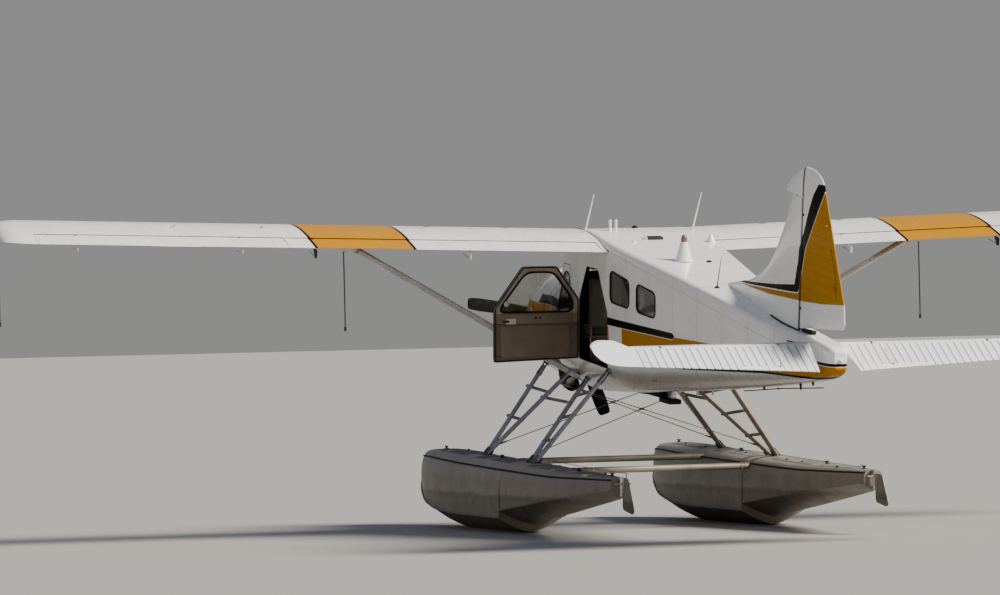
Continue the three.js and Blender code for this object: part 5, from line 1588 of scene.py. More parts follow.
# Ribs across the skin, the tab's hinge line and its two horns
for side in (1, -1):
    for height in (0.16 + RIB_GAP * k for k in range(14)):
        back = rudder_back(height)
        rudder.tube([(side * (rudder_half(y, back) - 0.0005), y, height) for y in spaced(0.06, back - 0.03, 0.2)],
                    0.003, 0, 6)
    rudder.tube([(side * rudder_half(y, rudder_back(h)), y, h)
                 for h, y in ((0.47, 0.985), (0.70, 0.93), (0.93, 0.79))], 0.0035, 2, 6)
for h, y in ((0.56, 0.95), (1.16, 0.70)):
    rudder.box((0.010, y, h - 0.010), (0.050, y + 0.030, h + 0.010), 0, 0.004)
    rudder.tube([(0.046, y + 0.02, h), (0.036, y - 0.12, h + 0.008)], 0.003, 0, 8)
piece("rudder_skin", Shape().merge(rudder, RUDDER_PLACE), [FIN_PAINT, STRUT, RUBBER], "rudder", node="rudder",
      slot="yellow_paint", sharp=38)


# ---------------------------------------------------------------- floats

STEP_STATION = 2.95
# station, half beam, keel, chine, deck edge, deck crown
FOREBODY = [(-0.950, 0.030, 0.640, 0.680, 0.745, 0.762), (-0.870, 0.115, 0.480, 0.590, 0.785, 0.830),
            (-0.600, 0.225, 0.280, 0.440, 0.800, 0.868), (-0.100, 0.325, 0.090, 0.290, 0.800, 0.876),
            (0.500, 0.372, 0.000, 0.215, 0.780, 0.860), (1.200, 0.380, 0.000, 0.185, 0.752, 0.830),
            (2.950, 0.380, 0.000, 0.175, 0.698, 0.770)]
AFTERBODY = [(2.950, 0.372, 0.095, 0.255, 0.698, 0.770), (4.500, 0.300, 0.255, 0.395, 0.650, 0.712),
             (6.120, 0.105, 0.440, 0.530, 0.640, 0.668)]


def float_row(table, station):
    """A row of a float's table, halfway between a smooth and a straight line."""
    return [(a + b) / 2 for a, b in zip(table_row(table, station), straight_row(table, station))]


def float_ring(station, half, keel, chine, edge, crown):
    """From the keel up the port side to the crown of the deck, and down again."""
    side = [(half * t, keel + (chine - keel) * (t - 0.10 * sin(pi * t))) for t in (0.04, 0.25, 0.5, 0.75, 0.93)]
    side += [(half * 0.985, chine - 0.006), (half, chine), (half * 0.99, chine + 0.012)]
    side += [(half * share, chine + (edge - chine) * t) for t, share in
             ((0.18, 0.985), (0.35, 0.984), (0.5, 0.98), (0.65, 0.96), (0.8, 0.92), (0.92, 0.858))]
    side += [(half * t, edge + (crown - edge) * up) for t, up in
             ((0.8, 0.0), (0.72, 0.42), (0.60, 0.68), (0.45, 0.85), (0.30, 0.94), (0.15, 0.985))]
    points = [(0, keel), *side, (0, crown), *[(-x, z) for x, z in side[::-1]]]
    return [V((FLOAT_X + x, station, z)) for x, z in points]


def deck_row(station):
    return float_row(FOREBODY if station < STEP_STATION else AFTERBODY, station)


def deck_height(station):
    return deck_row(station)[4]


STERN = 6.12
hull = Shape()
fore_stations = [-0.95, -0.945, -0.93, -0.91, -0.89, -0.87, -0.83, -0.78, -0.72, -0.66,
                 *spaced(-0.6, STEP_STATION, 0.11)]
hull.loft([float_ring(s, *float_row(FOREBODY, s)) for s in fore_stations])
hull.loft([float_ring(s, *float_row(AFTERBODY, max(s, STEP_STATION)))
           for s in [2.75, *spaced(STEP_STATION, STERN, 0.15)]])
# Spray rails, the keel strip and the dark strips along the deck's edges
for table, start, end in ((FOREBODY, -0.80, STEP_STATION), (AFTERBODY, 2.97, 6.10)):
    stations = spaced(start, end, 0.15)
    rows = [float_row(table, s) for s in stations]
    hull.tube([(FLOAT_X, s, r[1] + 0.012) for s, r in zip(stations, rows)], 0.012, 0, 8)
    for side in (1, -1):
        hull.tube([(FLOAT_X + side * r[0], s, r[2]) for s, r in zip(stations, rows)], 0.011, 0, 8)
        hull.tube([(FLOAT_X + side * r[0] * 0.83, s, r[3] - 0.004) for s, r in zip(stations, rows)], 0.010, 1, 8)
# Bumper at the bow, cleats, hatches, a walkway strip and the stern's rudder lugs
bow = [(FLOAT_X + 0.05 * sin(a), -0.905 - 0.040 * cos(a), 0.700) for a in np.linspace(-1.5, 1.5, 9)]
hull.tube(bow, 0.045, 1, 14)
for station in (-0.3, 1.9, 4.7, 5.85):
    z = deck_height(station)
    hull.box((FLOAT_X - 0.022, station - 0.045, z - 0.006), (FLOAT_X + 0.022, station + 0.045, z + 0.005), 1, 0.003)
    for dy in (-0.022, 0.022):
        hull.tube([(FLOAT_X, station + dy, z), (FLOAT_X, station + dy, z + 0.024)], 0.007, 1, 12)
    hull.tube([(FLOAT_X, station + dy, z + h) for dy, h in
               ((-0.055, 0.030), (-0.035, 0.026), (0, 0.025), (0.035, 0.026), (0.055, 0.030))], 0.007, 1, 12)
for station in (0.25, 0.95, 2.35, 3.7, 4.2, 5.3):
    z = deck_height(station)
    hull.lathe([(0.062, -0.010), (0.062, 0.004), (0.056, 0.007), (0.0, 0.008)], 2, 28,
               (FLOAT_X + 0.10, station, z - 0.010), (0.06, 0, 1))
    hull.lathe([(0.016, 0.0), (0.016, 0.013), (0.010, 0.018)], 1, 14, (FLOAT_X - 0.10, station, z - 0.009),
               (-0.06, 0, 1))
for start, end in ((-0.10, 1.05), (1.45, 1.78), (2.02, 2.72), (3.35, 4.55), (4.85, 5.7)):
    rows = []
    for s in spaced(start, end, 0.1):
        half, _, _, edge, crown = deck_row(s)
        over = [V((FLOAT_X + half * t, s, edge + (crown - edge) * up + 0.0025)) for t, up in
                ((-0.48, 0.83), (-0.30, 0.94), (-0.15, 0.985), (0, 1), (0.15, 0.985), (0.30, 0.94), (0.48, 0.83))]
        rows.append(over + [p - lift(0.012) for p in over[::-1]])
    hull.loft(rows, 3)
for bottom, top in ((0.470, 0.500), (0.640, 0.670)):
    hull.box((FLOAT_X - 0.022, STERN - 0.04, bottom), (FLOAT_X + 0.022, STERN + 0.045, top), 2, 0.004)
    hull.lathe([(0.022, 0), (0.022, top - bottom)], 2, 20, (FLOAT_X, STERN + 0.045, bottom), (0, 0, 1))
hull.lathe([(0.008, 0), (0.008, 0.18)], 2, 12, (FLOAT_X, STERN + 0.045, 0.48), (0, 0, 1))
pair("float_hull", hull, [FLOAT_METAL, RUBBER, SILVER, DECK_GRIP], "airframe", FLOOR, "float_{}",
     slot="float_metal", sharp=24)

water_blade = Shape()
outline = rounded([(6.195, 0.330), (6.520, 0.285), (6.570, 0.320), (6.400, 0.625), (6.195, 0.632)], 0.05)
water_blade.plate(outline, FLOAT_X - 0.005, FLOAT_X + 0.005, 0, 0.002)
water_blade.lathe([(0.0195, 0.5006), (0.0195, 0.6394)], 1, 24, (FLOAT_X, STERN + 0.045, 0), (0, 0, 1))
water_blade.box((FLOAT_X - 0.006, STERN + 0.055, 0.5125), (FLOAT_X + 0.006, 6.24, 0.627), 1, 0.002)
for h in (0.36, 0.45, 0.54):
    water_blade.box((FLOAT_X - 0.0085, 6.20, h), (FLOAT_X + 0.0085, 6.47 - (h - 0.3) * 0.2, h + 0.010), 0, 0.002)
water_blade.tube([(FLOAT_X - 0.09, 6.20, 0.60), (FLOAT_X + 0.09, 6.20, 0.60)], 0.007, 1, 12)
pair("water_blade", water_blade, [FLOAT_METAL, SILVER], "water_rudder_{}", FLOOR, "water_rudder_{}",
     slot="float_metal")


# ---------------------------------------------------------------- struts, steps and wires

def faired(shape, a, b, width, thickness, kind=0, steps=8, taper=0.0):
    """A strut of streamline section, blunt end forward, its wide side along the line of flight."""
    a, b = V(a), V(b)
    along = (b - a).normalized()
    wide = (V((0, 1, 0)) - along * along.y).normalized()
    thin = along.cross(wide)
    rings = []
    for t in np.linspace(0, 1, steps + 1):
        scale = 1 - taper * max(0, abs(2 * t - 1) - 0.8) / 0.2
        rings.append([a.lerp(b, float(t)) + wide * (cos(turn) * width / 2)
                      + thin * (sin(turn) * (1 - 0.28 * max(0, cos(turn))) * thickness / 2 * scale)
                      for turn in around(28)])
    return shape.loft(rings, kind)


def clevis(shape, at, towards, kind=1):
    """The forked end fitting of a strut, with its bolt."""
    along = (towards - at).normalized()
    across = along.cross((V((0, 1, 0)) - along * along.y).normalized())
    for sign in (1, -1):
        start, end = at - along * 0.03 + across * sign * 0.017, at + along * 0.11 + across * sign * 0.020
        shape.tube([start, end], [0.020, 0.030], kind, 12, 0.3, up=across)
    shape.tube([at - across * 0.034, at + across * 0.034], 0.011, kind, 12, up=V((0.3, 0.9, 0.1)))
    shape.tube([at + along * 0.06, at + along * 0.16], [0.034, 0.044], kind, 20, 0.75, up=across)
    return shape


WING_STRUT_TOP = V((3.298, 2.514, 3.187))
foot = STRUT_TOPS["wing"]
along = (WING_STRUT_TOP - foot).normalized()
strut = faired(Shape(), foot, foot.lerp(WING_STRUT_TOP, 0.992), 0.165, 0.070, steps=12)
strut.tube([foot - along * 0.03, foot, foot + along * 0.05], [0.026, 0.040, 0.034], 1, 20)
for share in (0.035, 0.955):
    faired(strut, foot.lerp(WING_STRUT_TOP, share), foot.lerp(WING_STRUT_TOP, share + 0.012), 0.169, 0.074, 1, 1)
pair("wing_brace", strut, [LIGHT_STRUT, STRUT], "airframe", FLOOR, "wing_strut_{}", slot="strut_paint", sharp=50)

LEGS = {
    "front": {"feet": (V((FLOAT_X, 1.25, 0.82)), V((FLOAT_X, 1.25, 0.82))),
              "tops": (STRUT_TOPS["front"], STRUT_TOPS["frontDiagonal"]), "rungs": (0.42, 0.74)},
    "rear": {"feet": (V((FLOAT_X, 2.93, 0.76)), V((FLOAT_X, 3.10, 0.76))),
             "tops": (STRUT_TOPS["rearDiagonal"], STRUT_TOPS["rear"]), "rungs": (0.26, 0.53, 0.79)},
}
LEG_WIDTH, LEG_THICKNESS, RUNG_RADIUS, RUNG_OVERHANG = 0.110, 0.048, 0.016, 0.075


def along_leg(leg, strut_number, share):
    """A point on one of a leg's two struts, from its foot (0) to its top (1)."""
    return leg["feet"][strut_number].lerp(leg["tops"][strut_number], share)


def rung(shape, a, b):
    """A round step with a gripping sleeve and clamps where it crosses the struts."""
    out = (a - b).normalized()
    start = a + out * RUNG_OVERHANG
    shape.tube([start, a, b], RUNG_RADIUS, 0, 14)
    shape.tube([a.lerp(b, 0.14), a.lerp(b, 0.86)], RUNG_RADIUS + 0.002, 2, 14)
    for end in (a, b):
        shape.tube([end + out * 0.020, end - out * 0.020], 0.0225, 1, 16)
    shape.tube([start, start - out * 0.012], RUNG_RADIUS + 0.004, 1, 14)


for place, leg in LEGS.items():
    legs = Shape()
    for foot, top in zip(leg["feet"], leg["tops"]):
        faired(legs, foot, foot.lerp(top, 0.97), LEG_WIDTH, LEG_THICKNESS, taper=0.25)
        clevis(legs, top, foot)
        legs.tube([foot, foot + (top - foot).normalized() * 0.10], [0.046, 0.036], 1, 20)
    for share in leg["rungs"]:
        rung(legs, along_leg(leg, 0, share), along_leg(leg, 1, share))
    front, back = leg["feet"]
    legs.box((FLOAT_X - 0.058, front.y - 0.078, front.z - 0.055), (FLOAT_X + 0.058, back.y + 0.078, front.z + 0.008),
             1, 0.008)
    legs.box((FLOAT_X - 0.018, front.y - 0.060, front.z), (FLOAT_X + 0.018, back.y + 0.060, front.z + 0.038), 1,
             0.006)
    for dy in (front.y - 0.055, back.y + 0.055):
        for dx in (-0.04, 0.04):
            legs.bolt((FLOAT_X + dx, dy, front.z + 0.008), (0, 0, 1), 0.009, 0.008, 1)
    if place == "front":
        rung(legs, along_leg(leg, 1, 0.68), along_leg(LEGS["rear"], 0, 0.71))
    pair(f"float_legs_{place}", legs, [STRUT, CABLE, DECK_GRIP], "airframe", FLOOR, f"float_struts_{place}_{{}}",
         slot="strut_paint", sharp=40)

BARS = {"front": (1.400, 0.745), "rear": (3.050, 0.665)}
for place, (station, height) in BARS.items():
    bar = Shape()
    bar.tube([(-1.12, station, height), (1.12, station, height)], 0.036, 0, 24)
    for side in (1, -1):
        for x in (1.03, 0.985):
            bar.tube([(side * x, station, height), (side * (x + 0.02), station, height)], 0.0405, 1, 24)
        for a in around(4) + pi / 4:
            bar.bolt((side, station + 0.04 * cos(a), height + 0.04 * sin(a)), (0, cos(a), sin(a)), 0.006, 0.005, 1)
    piece(f"float_spreader_{place}", bar, [BAR_METAL, STRUT], "airframe", FLOOR, f"spreader_bar_{place}",
          "strut_paint")

# leg strut, share of its height at the wires' lower and upper ends
BRACES = {"front": (1, 0.12, 0.85), "rear": (0, 0.12, 0.87)}
for place, (number, low, high) in BRACES.items():
    start, end = (along_leg(LEGS[place], number, share) for share in (low, high))
    opposite = V((-end.x, end.y, end.z))
    middle = start.lerp(opposite, start.x / (start.x + end.x))
    wires = Shape().lathe([(0.0005, -0.010), (0.012, -0.010), (0.014, -0.005), (0.014, 0.005), (0.012, 0.010),
                           (0.0005, 0.010)], 0, 24, middle)
    for a, b in ((start, opposite), (V((-start.x, start.y, start.z)), end)):
        wires.tube([a, b], 0.005, 0, 10, 0.6, up=V((0, 1, 0)))
        run = (b - a).normalized()
        for near, away in ((a, run), (b, -run)):
            wires.tube([near + away * 0.03, near + away * 0.10, near + away * 0.16], [0.010, 0.010, 0.006], 1, 12)
        wires.tube([middle - run * 0.05, middle, middle + run * 0.05], [0.006, 0.009, 0.006], 0, 10)
    piece(f"bracing_{place}", wires, [CABLE, STRUT], "airframe", FLOOR, f"brace_wires_{place}", "cable_steel")


# ---------------------------------------------------------------- cabin

FLOOR_TOP, PAN_TOP = -0.325, 0.075
floor_rings = []
for station in spaced(1.225, 4.70, 0.25):
    half = skin_x(station, FLOOR_TOP) - 0.048
    floor_rings.append([V((x, station, FLOOR_TOP + up)) for x, up in
                        ((half, 0), (0, 0.001), (-half, 0), (-half + 0.02, -0.025), (half - 0.02, -0.025))])
deck = Shape().loft(floor_rings)
for x in (-0.47, -0.12, 0.12, 0.47):
    deck.box((x - 0.012, 1.95, FLOOR_TOP), (x + 0.012, 4.60, FLOOR_TOP + 0.006), 1, 0.002)
piece("cabin_deck", deck, [CARPET, SILVER], "airframe", node="cabin_floor", slot="cabin_trim")

board = Shape()
PANEL_FRONT, PANEL_BACK = 1.345, 1.462
face = rounded([(-0.545, 0.070), (0.545, 0.070), (0.545, 0.250), (0.430, 0.455), (-0.430, 0.455), (-0.545, 0.250)],
               0.05)
board.loft([[V((x, y, z)) for x, z in face] for y in (PANEL_FRONT, PANEL_BACK)])
board.tube([(x, PANEL_BACK, z + 0.006) for x, z in
            ((-0.42, 0.452), (-0.2, 0.456), (0, 0.457), (0.2, 0.456), (0.42, 0.452))], 0.010, 1, 12)
dials = [(x, z, 0.040) for x in (-0.36, -0.26, -0.16, 0.16, 0.26, 0.36) for z in (0.375, 0.275)]
dials += [(x, z, 0.028) for x in (-0.075, 0.0, 0.075) for z in (0.385, 0.315, 0.245)]
for x, z, radius in dials:
    board.lathe([(radius, -0.002), (radius, 0.006), (radius - 0.005, 0.008), (radius - 0.006, 0.004), (0.0, 0.004)],
                1, 28, (x, PANEL_BACK, z), (0, 1, 0))
    board.lathe([(radius - 0.006, 0.0045), (0.0, 0.0046)], 2, 28, (x, PANEL_BACK, z), (0, 1, 0))
    board.box((-0.0012, 0, 0), (0.0012, 0.0015, radius * 0.62), 3, 0,
              Matrix.Translation((x, PANEL_BACK + 0.005, z)) @ Matrix.Rotation(x * 21 + z * 9, 4, "Y"))
for k in range(9):
    board.lathe([(0.006, 0), (0.006, 0.012), (0.003, 0.02)], 3, 12, (-0.32 + 0.08 * k, PANEL_BACK, 0.135), (0, 1, 0))
for x in (-0.02, 0.02, 0.06):
    board.tube([(x, PANEL_BACK, 0.185), (x, PANEL_BACK + 0.055, 0.190)], 0.005, 3, 10)
    board.dome((x, PANEL_BACK + 0.055, 0.190), 0.013, 0.014, 2, (0, 1, 0), 16)
# Control column with its two wheels, and rudder pedals
board.tube([(0, 1.60, FLOOR_TOP + 0.01), (0, 1.66, -0.05), (0, 1.70, 0.14)], 0.022, 1, 16)
for side in (1, -1):
    wheel = [V((side * 0.27 + 0.13 * sin(a), 1.72, 0.16 - 0.11 * cos(a))) for a in np.linspace(-2.2, 2.2, 17)]
    board.tube(wheel, 0.013, 1, 12, up=V((0, 1, 0)))
    board.tube([(side * 0.27, 1.72, 0.16), (side * 0.13, 1.71, 0.15), (0, 1.70, 0.14)], 0.014, 1, 12)
    board.tube([wheel[4], V((side * 0.27, 1.72, 0.16)), wheel[12]], 0.010, 1, 10)
    for x in (side * 0.27 - 0.09, side * 0.27 + 0.09):
        board.box((x - 0.04, 1.50, FLOOR_TOP + 0.05), (x + 0.04, 1.515, FLOOR_TOP + 0.19), 3, 0.006)
        board.tube([(x, 1.508, FLOOR_TOP + 0.06), (x, 1.49, FLOOR_TOP + 0.001)], 0.008, 3, 10)
piece("dash_board", board, [PANEL, RUBBER, DIAL, PALE], "airframe", node="instrument_panel", slot="panel_black",
      sharp=40)

# Roof ribs and the rear bench's supports, seen through the doorway
lining = Shape()
for station in (1.95, 2.29, 2.37, 3.455, 4.05, 4.20, 4.70):
    ring = section_ring(station, *table_row(FUSELAGE, station), inset=WALL + 0.012)
    arch = sorted((p for p in ring if p.z > 0.35), key=lambda p: math.atan2(p.x, p.z - 0.3))
    lining.tube(arch, 0.012, 0, 8, up=V((0, 1, 0)))
for side in (1, -1):
    lining.box((side * 0.36 - 0.13, 3.60, FLOOR_TOP + 0.002), (side * 0.36 + 0.13, 3.72, FLOOR_TOP + 0.20), 1, 0.01)
lining.box((-0.30, 4.34, FLOOR_TOP + 0.002), (0.30, 4.66, FLOOR_TOP + 0.30), 1, 0.02)
piece("cabin_lining", lining, [TRIM, PALE], "airframe", slot="cabin_trim")


# ---------------------------------------------------------------- seats

CLOTH_CELL, CLOTH_FRAMES, CLOTH_CAP = 0.009, 16, 0.018


def cushion_shape(low, high):
    """A closed box-like cushion, rounded at every edge, as a mesh in the airframe's coordinates."""
    bm = bmesh.new()
    bmesh.ops.create_cube(bm, size=2, matrix=Matrix.Translation((low + high) / 2)
                          @ Matrix.Diagonal((*((high - low) / 2), 1)))
    bmesh.ops.bevel(bm, geom=bm.edges[:], offset=min(high - low) * 0.28, segments=3, profile=0.6, affect="EDGES")
    mesh = bpy.data.meshes.new("cushion")
    bm.to_mesh(mesh)
    bm.free()
    obj = bpy.data.objects.new("cushion", mesh)
    bpy.context.scene.collection.objects.link(obj)
    return obj


def inflate(obj):
    """Cloth blown up from inside, then held to a few centimetres from where it started."""
    scene = bpy.context.scene
    bpy.context.view_layer.objects.active = obj
    obj.select_set(True)
    remesh = obj.modifiers.new("remesh", "REMESH")
    remesh.mode, remesh.voxel_size = "VOXEL", CLOTH_CELL
    bpy.ops.object.modifier_apply(modifier="remesh")
    start = np.array([v.co for v in obj.data.vertices])
    simulated = obj.modifiers.new("cloth", "CLOTH")
    simulated.settings.use_pressure = True
    simulated.settings.uniform_pressure_force = 4
    simulated.settings.effector_weights.gravity = 0
    simulated.settings.quality = 4
    for frame in range(1, CLOTH_FRAMES + 1):
        scene.frame_set(frame)
    result = obj.evaluated_get(bpy.context.evaluated_depsgraph_get()).to_mesh()
    moved = np.array([v.co for v in result.vertices]) - start
    far = np.linalg.norm(moved, axis=1, keepdims=True)
    held = start + moved * np.minimum(1, CLOTH_CAP / np.maximum(far, 1e-9))
    obj.modifiers.remove(simulated)
    obj.data.vertices.foreach_set("co", held.ravel())
    scene.frame_set(1)
    obj.select_set(False)


def cushion(name, low, high, node, channels):
    """A padded piece with sewn channels over its face."""
    low, high = V(low), V(high)
    inset = V((0.012, 0.012, 0.012))
    obj = cushion_shape(low + inset, high - inset)
    inflate(obj)
    middle, size = (low + high) / 2, high - low
    lying = size.z < size.y
    for v in obj.data.vertices:
        local = v.co - middle
        if not (local.z > 0.2 * size.z if lying else local.y < -0.1 * size.y):
            continue
        lines = [-size.x / 2 + size.x * (k + 1) / (channels + 1) for k in range(channels)]
        depth = sum(math.exp(-((local.x - line) / 0.008) ** 2) for line in lines)
        end_distance = size.y / 2 - abs(local.y) if lying else size.z / 2 - abs(local.z)
        ease = min(1, max(0, (min(size.x / 2 - abs(local.x), end_distance) - 0.03) / 0.04))
        v.co -= (lift(0.012) if lying else V((0, -0.012, 0))) * (depth * ease)
    subdivision = obj.modifiers.new("smooth", "SUBSURF")
    subdivision.levels = subdivision.render_levels = 1
    bpy.context.view_layer.update()
    final = bpy.data.meshes.new_from_object(obj.evaluated_get(bpy.context.evaluated_depsgraph_get()))
    bpy.data.objects.remove(obj)
    final.transform(AIR)
    final.materials.clear()
    final.materials.append(CLOTH)
    made = bpy.data.objects.new(name, final)
    placed(made, "airframe", node, sharp=180)


def seat(name, node, x, front, width, depth, back_height):
    """A seat: metal base, padded pan and padded back with a belt, inside the space of its CAD solid."""
    back, foot = front + depth, FLOOR_TOP + 0.004
    left, right = x - width / 2, x + width / 2
    frame = Shape()
    for sx in (left + 0.05, right - 0.05):
        for y, z, end_y, end_z, radius in (
                (front + 0.05, foot, front + 0.06, PAN_TOP - 0.10, 0.013),
                (back - 0.05, foot, back - 0.05, PAN_TOP - 0.10, 0.013),
                (front + 0.03, PAN_TOP - 0.105, back - 0.04, PAN_TOP - 0.105, 0.013),
                (back - 0.035, PAN_TOP - 0.10, back - 0.030, PAN_TOP + back_height - 0.10, 0.012)):
            frame.tube([(sx, y, z), (sx, end_y, end_z)], radius, 0, 12)
    frame.box((left + 0.07, front + 0.08, foot), (right - 0.07, back - 0.08, PAN_TOP - 0.12), 1, 0.012)
    frame.box((left + 0.01, front + 0.01, PAN_TOP - 0.118), (right - 0.01, back - 0.02, PAN_TOP - 0.098), 1, 0.006)
    for side in (-1, 1):
        sx = x + side * (width / 2 - 0.10)
        frame.tube([(sx, back - 0.10, PAN_TOP + 0.008), (sx - side * 0.05, front + 0.25, PAN_TOP + 0.014),
                    (sx - side * 0.09, front + 0.14, PAN_TOP + 0.012)], [0.022, 0.022, 0.020], 2, 12, 0.16)
    frame.box((x - 0.025, front + 0.10, PAN_TOP + 0.006), (x + 0.025, front + 0.16, PAN_TOP + 0.022), 0, 0.004)
    piece(f"{name}_frame", frame, [SILVER, TRIM, RUBBER], "airframe", node=node, slot="cabin_trim")
    channels = max(3, int(width / 0.13))
    cushion(f"{name}_pan", (left, front, PAN_TOP - 0.105), (right, back - 0.085, PAN_TOP + 0.004), node, channels)
    cushion(f"{name}_back", (left, back - 0.094, PAN_TOP - 0.03), (right, back, PAN_TOP + back_height), node,
            channels)


seat("pilot_chair", "pilot_seat", 0.29, 1.86, 0.43, 0.45, 0.56)
seat("copilot_chair", "copilot_seat", -0.29, 1.86, 0.43, 0.45, 0.56)
seat("rear_bench", "cabin_bench", 0.0, 3.78, 0.86, 0.45, 0.43)


# ---------------------------------------------------------------- trim on the airframe

def roof_point(x, station, out=0.0):
    """A point on the fuselage's top skin."""
    half, top, _, radius, _ = table_row(FUSELAGE, station)
    into = max(0, abs(x) - (half - radius))
    return V((x, station, top - radius + math.sqrt(max(radius ** 2 - into ** 2, 0)) + out))


trim = Shape()
PAINTED, DARK, METAL, LENS, CAP = range(5)
UP = (0, 0, 1)


def whip(x, station, base_z, reach, height=0.45, thick=0.011):
    """A whip aerial on a small foot."""
    foot = V((x, station, base_z))
    trim.lathe([(0.030, -0.004), (0.030, 0.004), (0.018, 0.014), (0.012, 0.030), (thick, 0.05)], PAINTED, 20,
               foot, UP)
    tip = foot + V((0, reach, height))
    trim.tube([foot + (tip - foot) * t for t in (0.05, 0.5, 1.0)], [thick, thick * 0.8, thick * 0.45], PAINTED, 10)


def wing_top(station):
    """The height of the wing's upper skin at its root."""
    return aerofoil((station - LEADING_EDGE) / CHORD, 1) * CHORD + WING_HEIGHT


for sx in (0.66, -0.58):
    whip(sx, 2.67, wing_top(2.68) + 0.002, 0.32)
for x, station in ((0.66, 2.47), (0.74, 2.64)):
    trim.dome((x, station, wing_top(station)), 0.022, 0.020, PAINTED)
for x in (0.383, 0.316):
    p = roof_point(x, 2.715, -0.004)
    trim.lathe([(0.020, 0), (0.020, 0.02), (0.014, 0.026), (0.014, 0.10), (0.017, 0.104), (0.017, 0.118),
                (0.010, 0.124)], PAINTED, 20, p, UP)
trim.dome(roof_point(0.03, 2.51), 0.036, 0.030, DARK)
vent_rings = []
for x, size in ((0.185, 0.15), (0.180, 0.5), (0.165, 0.8), (0.140, 1), (0.05, 1), (-0.03, 1), (-0.045, 0.85),
                (-0.05, 0.6)):
    base = roof_point(x, 3.24, -0.012).z
    vent_rings.append([V((x, 3.24 + 0.055 * size * along, base + 0.045 * size * up)) for along, up in
                       ((1, 0), (0.95, 0.5), (0.6, 0.9), (0, 1), (-0.6, 0.9), (-0.95, 0.5), (-1, 0))])
trim.loft(vent_rings[3:], DARK)
trim.loft(vent_rings[:4], PAINTED)
trim.dome(roof_point(0.325, 3.385), 0.028, 0.022, PAINTED)
cone_foot = roof_point(0.108, 4.45, -0.006)
trim.lathe([(0.098, 0.0), (0.094, 0.02), (0.075, 0.08), (0.058, 0.14), (0.044, 0.20), (0.040, 0.212)], PAINTED, 32,
           cone_foot, UP)
trim.lathe([(0.034, 0.205), (0.036, 0.215), (0.035, 0.250), (0.030, 0.272), (0.018, 0.285), (0.004, 0.290)], CAP,
           28, cone_foot, UP)
trim.lathe([(0.052, -0.012), (0.050, 0.004), (0.038, 0.030), (0.022, 0.064), (0.012, 0.084), (0.003, 0.090)],
           PAINTED, 24, roof_point(-0.535, 3.46), UP)
trim.dome(roof_point(-0.149, 4.525), 0.032, 0.020, DARK)
whip_foot = roof_point(0.204, 5.82)
trim.lathe([(0.030, -0.006), (0.030, 0.004), (0.012, 0.020)], DARK, 20, whip_foot, UP)
trim.tube([whip_foot + V((-0.001 * k, 0.02 * k, 0.055 * k)) for k in range(7)],
          [0.007, 0.006, 0.0055, 0.005, 0.0045, 0.004, 0.003], DARK, 10)
# Dark lines where the wing roots meet the fuselage
root = [DIHEDRAL @ wing_place(WING_ROOT + 0.018, s, 1) for s in ROUND_SHARES[2:]]
for side in (1, -1):
    trim.tube([V((side * p.x, p.y, p.z)) for p in root], 0.006, DARK, 8)
# Belly boxes, drain masts and the rod along the tail's underside
trim.box((-0.02, 3.20, -0.590), (0.11, 3.60, -0.520), DARK, 0.012)
trim.box((-0.075, 3.50, -0.646), (0.07, 3.85, -0.590), DARK, 0.012)
trim.box((-0.03, 3.58, -0.600), (0.02, 3.80, -0.480), METAL, 0.006)
trim.tube([(0.10, 3.30, -0.575), (0.12, 3.05, -0.585), (0.15, 2.85, -0.565)], 0.012, DARK, 12)
trim.tube([(0.0, 6.12, -0.286), (0.0, 7.3, -0.150), (0.0, 8.56, -0.028)], 0.006, DARK, 8)
for s, drop in ((6.75, 0.030), (7.87, 0.060), (8.24, 0.035)):
    z = table_row(FUSELAGE, s)[2]
    trim.tube([(0, s, z + 0.01), (0, s + 0.01, z - drop)], [0.016, 0.008], DARK, 10)
trim.dome((0.0, 7.20, -0.158), 0.016, 0.014, DARK, (0, 0, -1), 16)
for s in (4.9, 5.4):
    z = table_row(FUSELAGE, s)[2]
    trim.lathe([(0.012, -0.03), (0.012, 0.05), (0.008, 0.055)], METAL, 12, (0.1, s, z), (0, 0, -1))
# Tail light, seams at the fin's root and the tailplane, and a block under the rudder
trim.lathe([(0.022, -0.01), (0.022, 0.02), (0.016, 0.035), (0.004, 0.042)], LENS, 20,
           (0, TAIL_END - 0.004, 0.285), (0, 1, 0))
for side in (1, -1):
    seam = [V((side * 0.049, s, roof_point(0.049, s).z + 0.003)) for s in spaced(7.08, 7.95, 0.12)]
    trim.tube(seam, 0.009, DARK, 8)
    joint = [V((side * (skin_x(s, 0.40) + 0.001), s, 0.401)) for s in spaced(7.93, 8.44, 0.1)]
    trim.tube(joint, 0.006, DARK, 8)
trim.box((-0.028, 7.96, 0.485), (0.028, 8.26, 0.524), DARK, 0.006)
piece("airframe_trim", trim, [TAIL_PAINT, PANEL, SILVER, CLEAR_LIGHT, BROWN_CAP], "airframe", slot="white_paint",
      sharp=40)

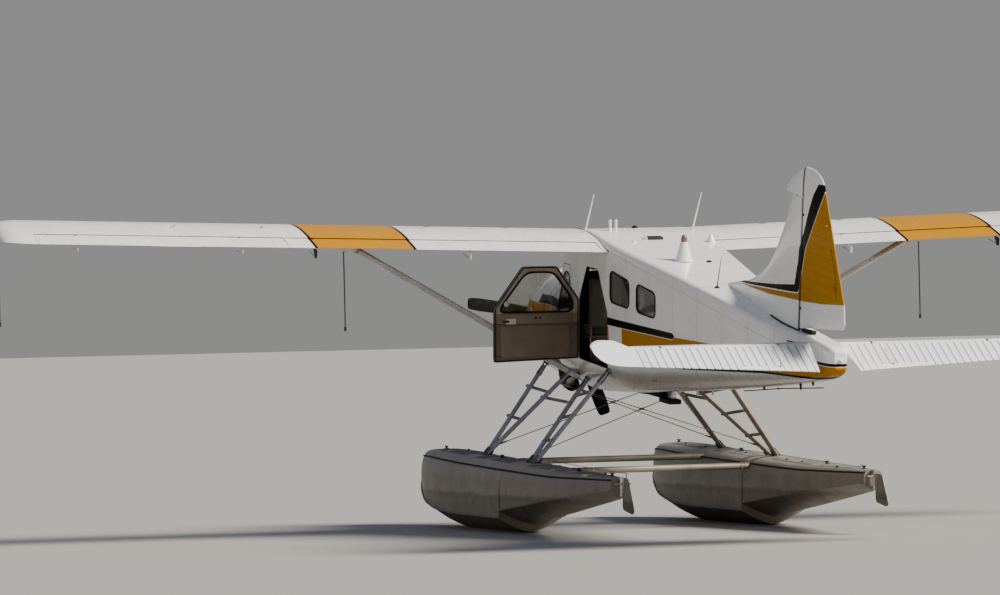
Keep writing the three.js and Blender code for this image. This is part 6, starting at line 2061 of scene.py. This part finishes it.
# The run of each water rudder's steering cable along its float's deck, on three posts
cables = Shape()
for x in (FLOAT_X - 0.10, 0.10 - FLOAT_X):
    cables.tube([(x, 6.02, 0.70), (x, 4.9, 0.735), (x, 3.4, 0.79)], 0.003, 0, 8)
    for s in (3.4, 4.9, 6.02):
        cables.tube([(x, s, deck_height(s) - 0.02), (x, s, deck_height(s) + 0.05)], 0.007, 1, 10)
piece("rudder_cables", cables, [CABLE, SILVER], "airframe", FLOOR, slot="cable_steel")


# ---------------------------------------------------------------- floor, light, finish

FLOOR_REACH, SKY_STRENGTH = 400, 0.31


def studio_floor():
    """A wide grey floor, which belongs to the stage."""
    mesh = bpy.data.meshes.new("studio_floor")
    mesh.from_pydata([(x * FLOOR_REACH, y * FLOOR_REACH, 0) for x, y in ((-1, -1), (1, -1), (1, 1), (-1, 1))], [],
                     [(0, 1, 2, 3)])
    surface = Surface("studio_floor", (0.29, 0.286, 0.278), 0.75)
    surface.rough(surface.noise(0.4, 3) * 0.1 + 0.7)
    mesh.materials.append(surface.finish())
    obj = bpy.data.objects.new("studio_floor", mesh)
    bpy.context.scene.collection.objects.link(obj)


def sun(name, towards, strength, colour, softness):
    """A distant soft light shining along a direction."""
    data = bpy.data.lights.new(name, "SUN")
    data.energy, data.color, data.angle = strength, colour, radians(softness)
    obj = bpy.data.objects.new(name, data)
    obj.rotation_euler = V(towards).to_track_quat("-Z", "Y").to_euler()
    bpy.context.scene.collection.objects.link(obj)


def sky():
    """A pale, even surround, a little bluer overhead."""
    world = bpy.data.worlds.new("sky")
    world.use_nodes = True
    tree = world.node_tree
    background = tree.nodes["Background"]
    background.inputs["Strength"].default_value = SKY_STRENGTH
    coordinates = tree.nodes.new("ShaderNodeTexCoord")
    parts = tree.nodes.new("ShaderNodeSeparateXYZ")
    tree.links.new(coordinates.outputs["Generated"], parts.inputs[0])
    ramp = tree.nodes.new("ShaderNodeValToRGB")
    low, high = ramp.color_ramp.elements
    low.position, low.color = 0.0, (0.90, 0.89, 0.88, 1)
    high.position, high.color = 0.75, (0.50, 0.66, 1.0, 1)
    tree.links.new(parts.outputs[2], ramp.inputs[0])
    tree.links.new(ramp.outputs[0], background.inputs["Color"])
    bpy.context.scene.world = world


studio_floor()
sky()
sun("key", (0.62, -0.42, -0.60), 9.5, (1.0, 0.92, 0.80), 22)
sun("side", (-0.86, -0.42, -0.28), 0.5, (1.0, 0.92, 0.85), 40)
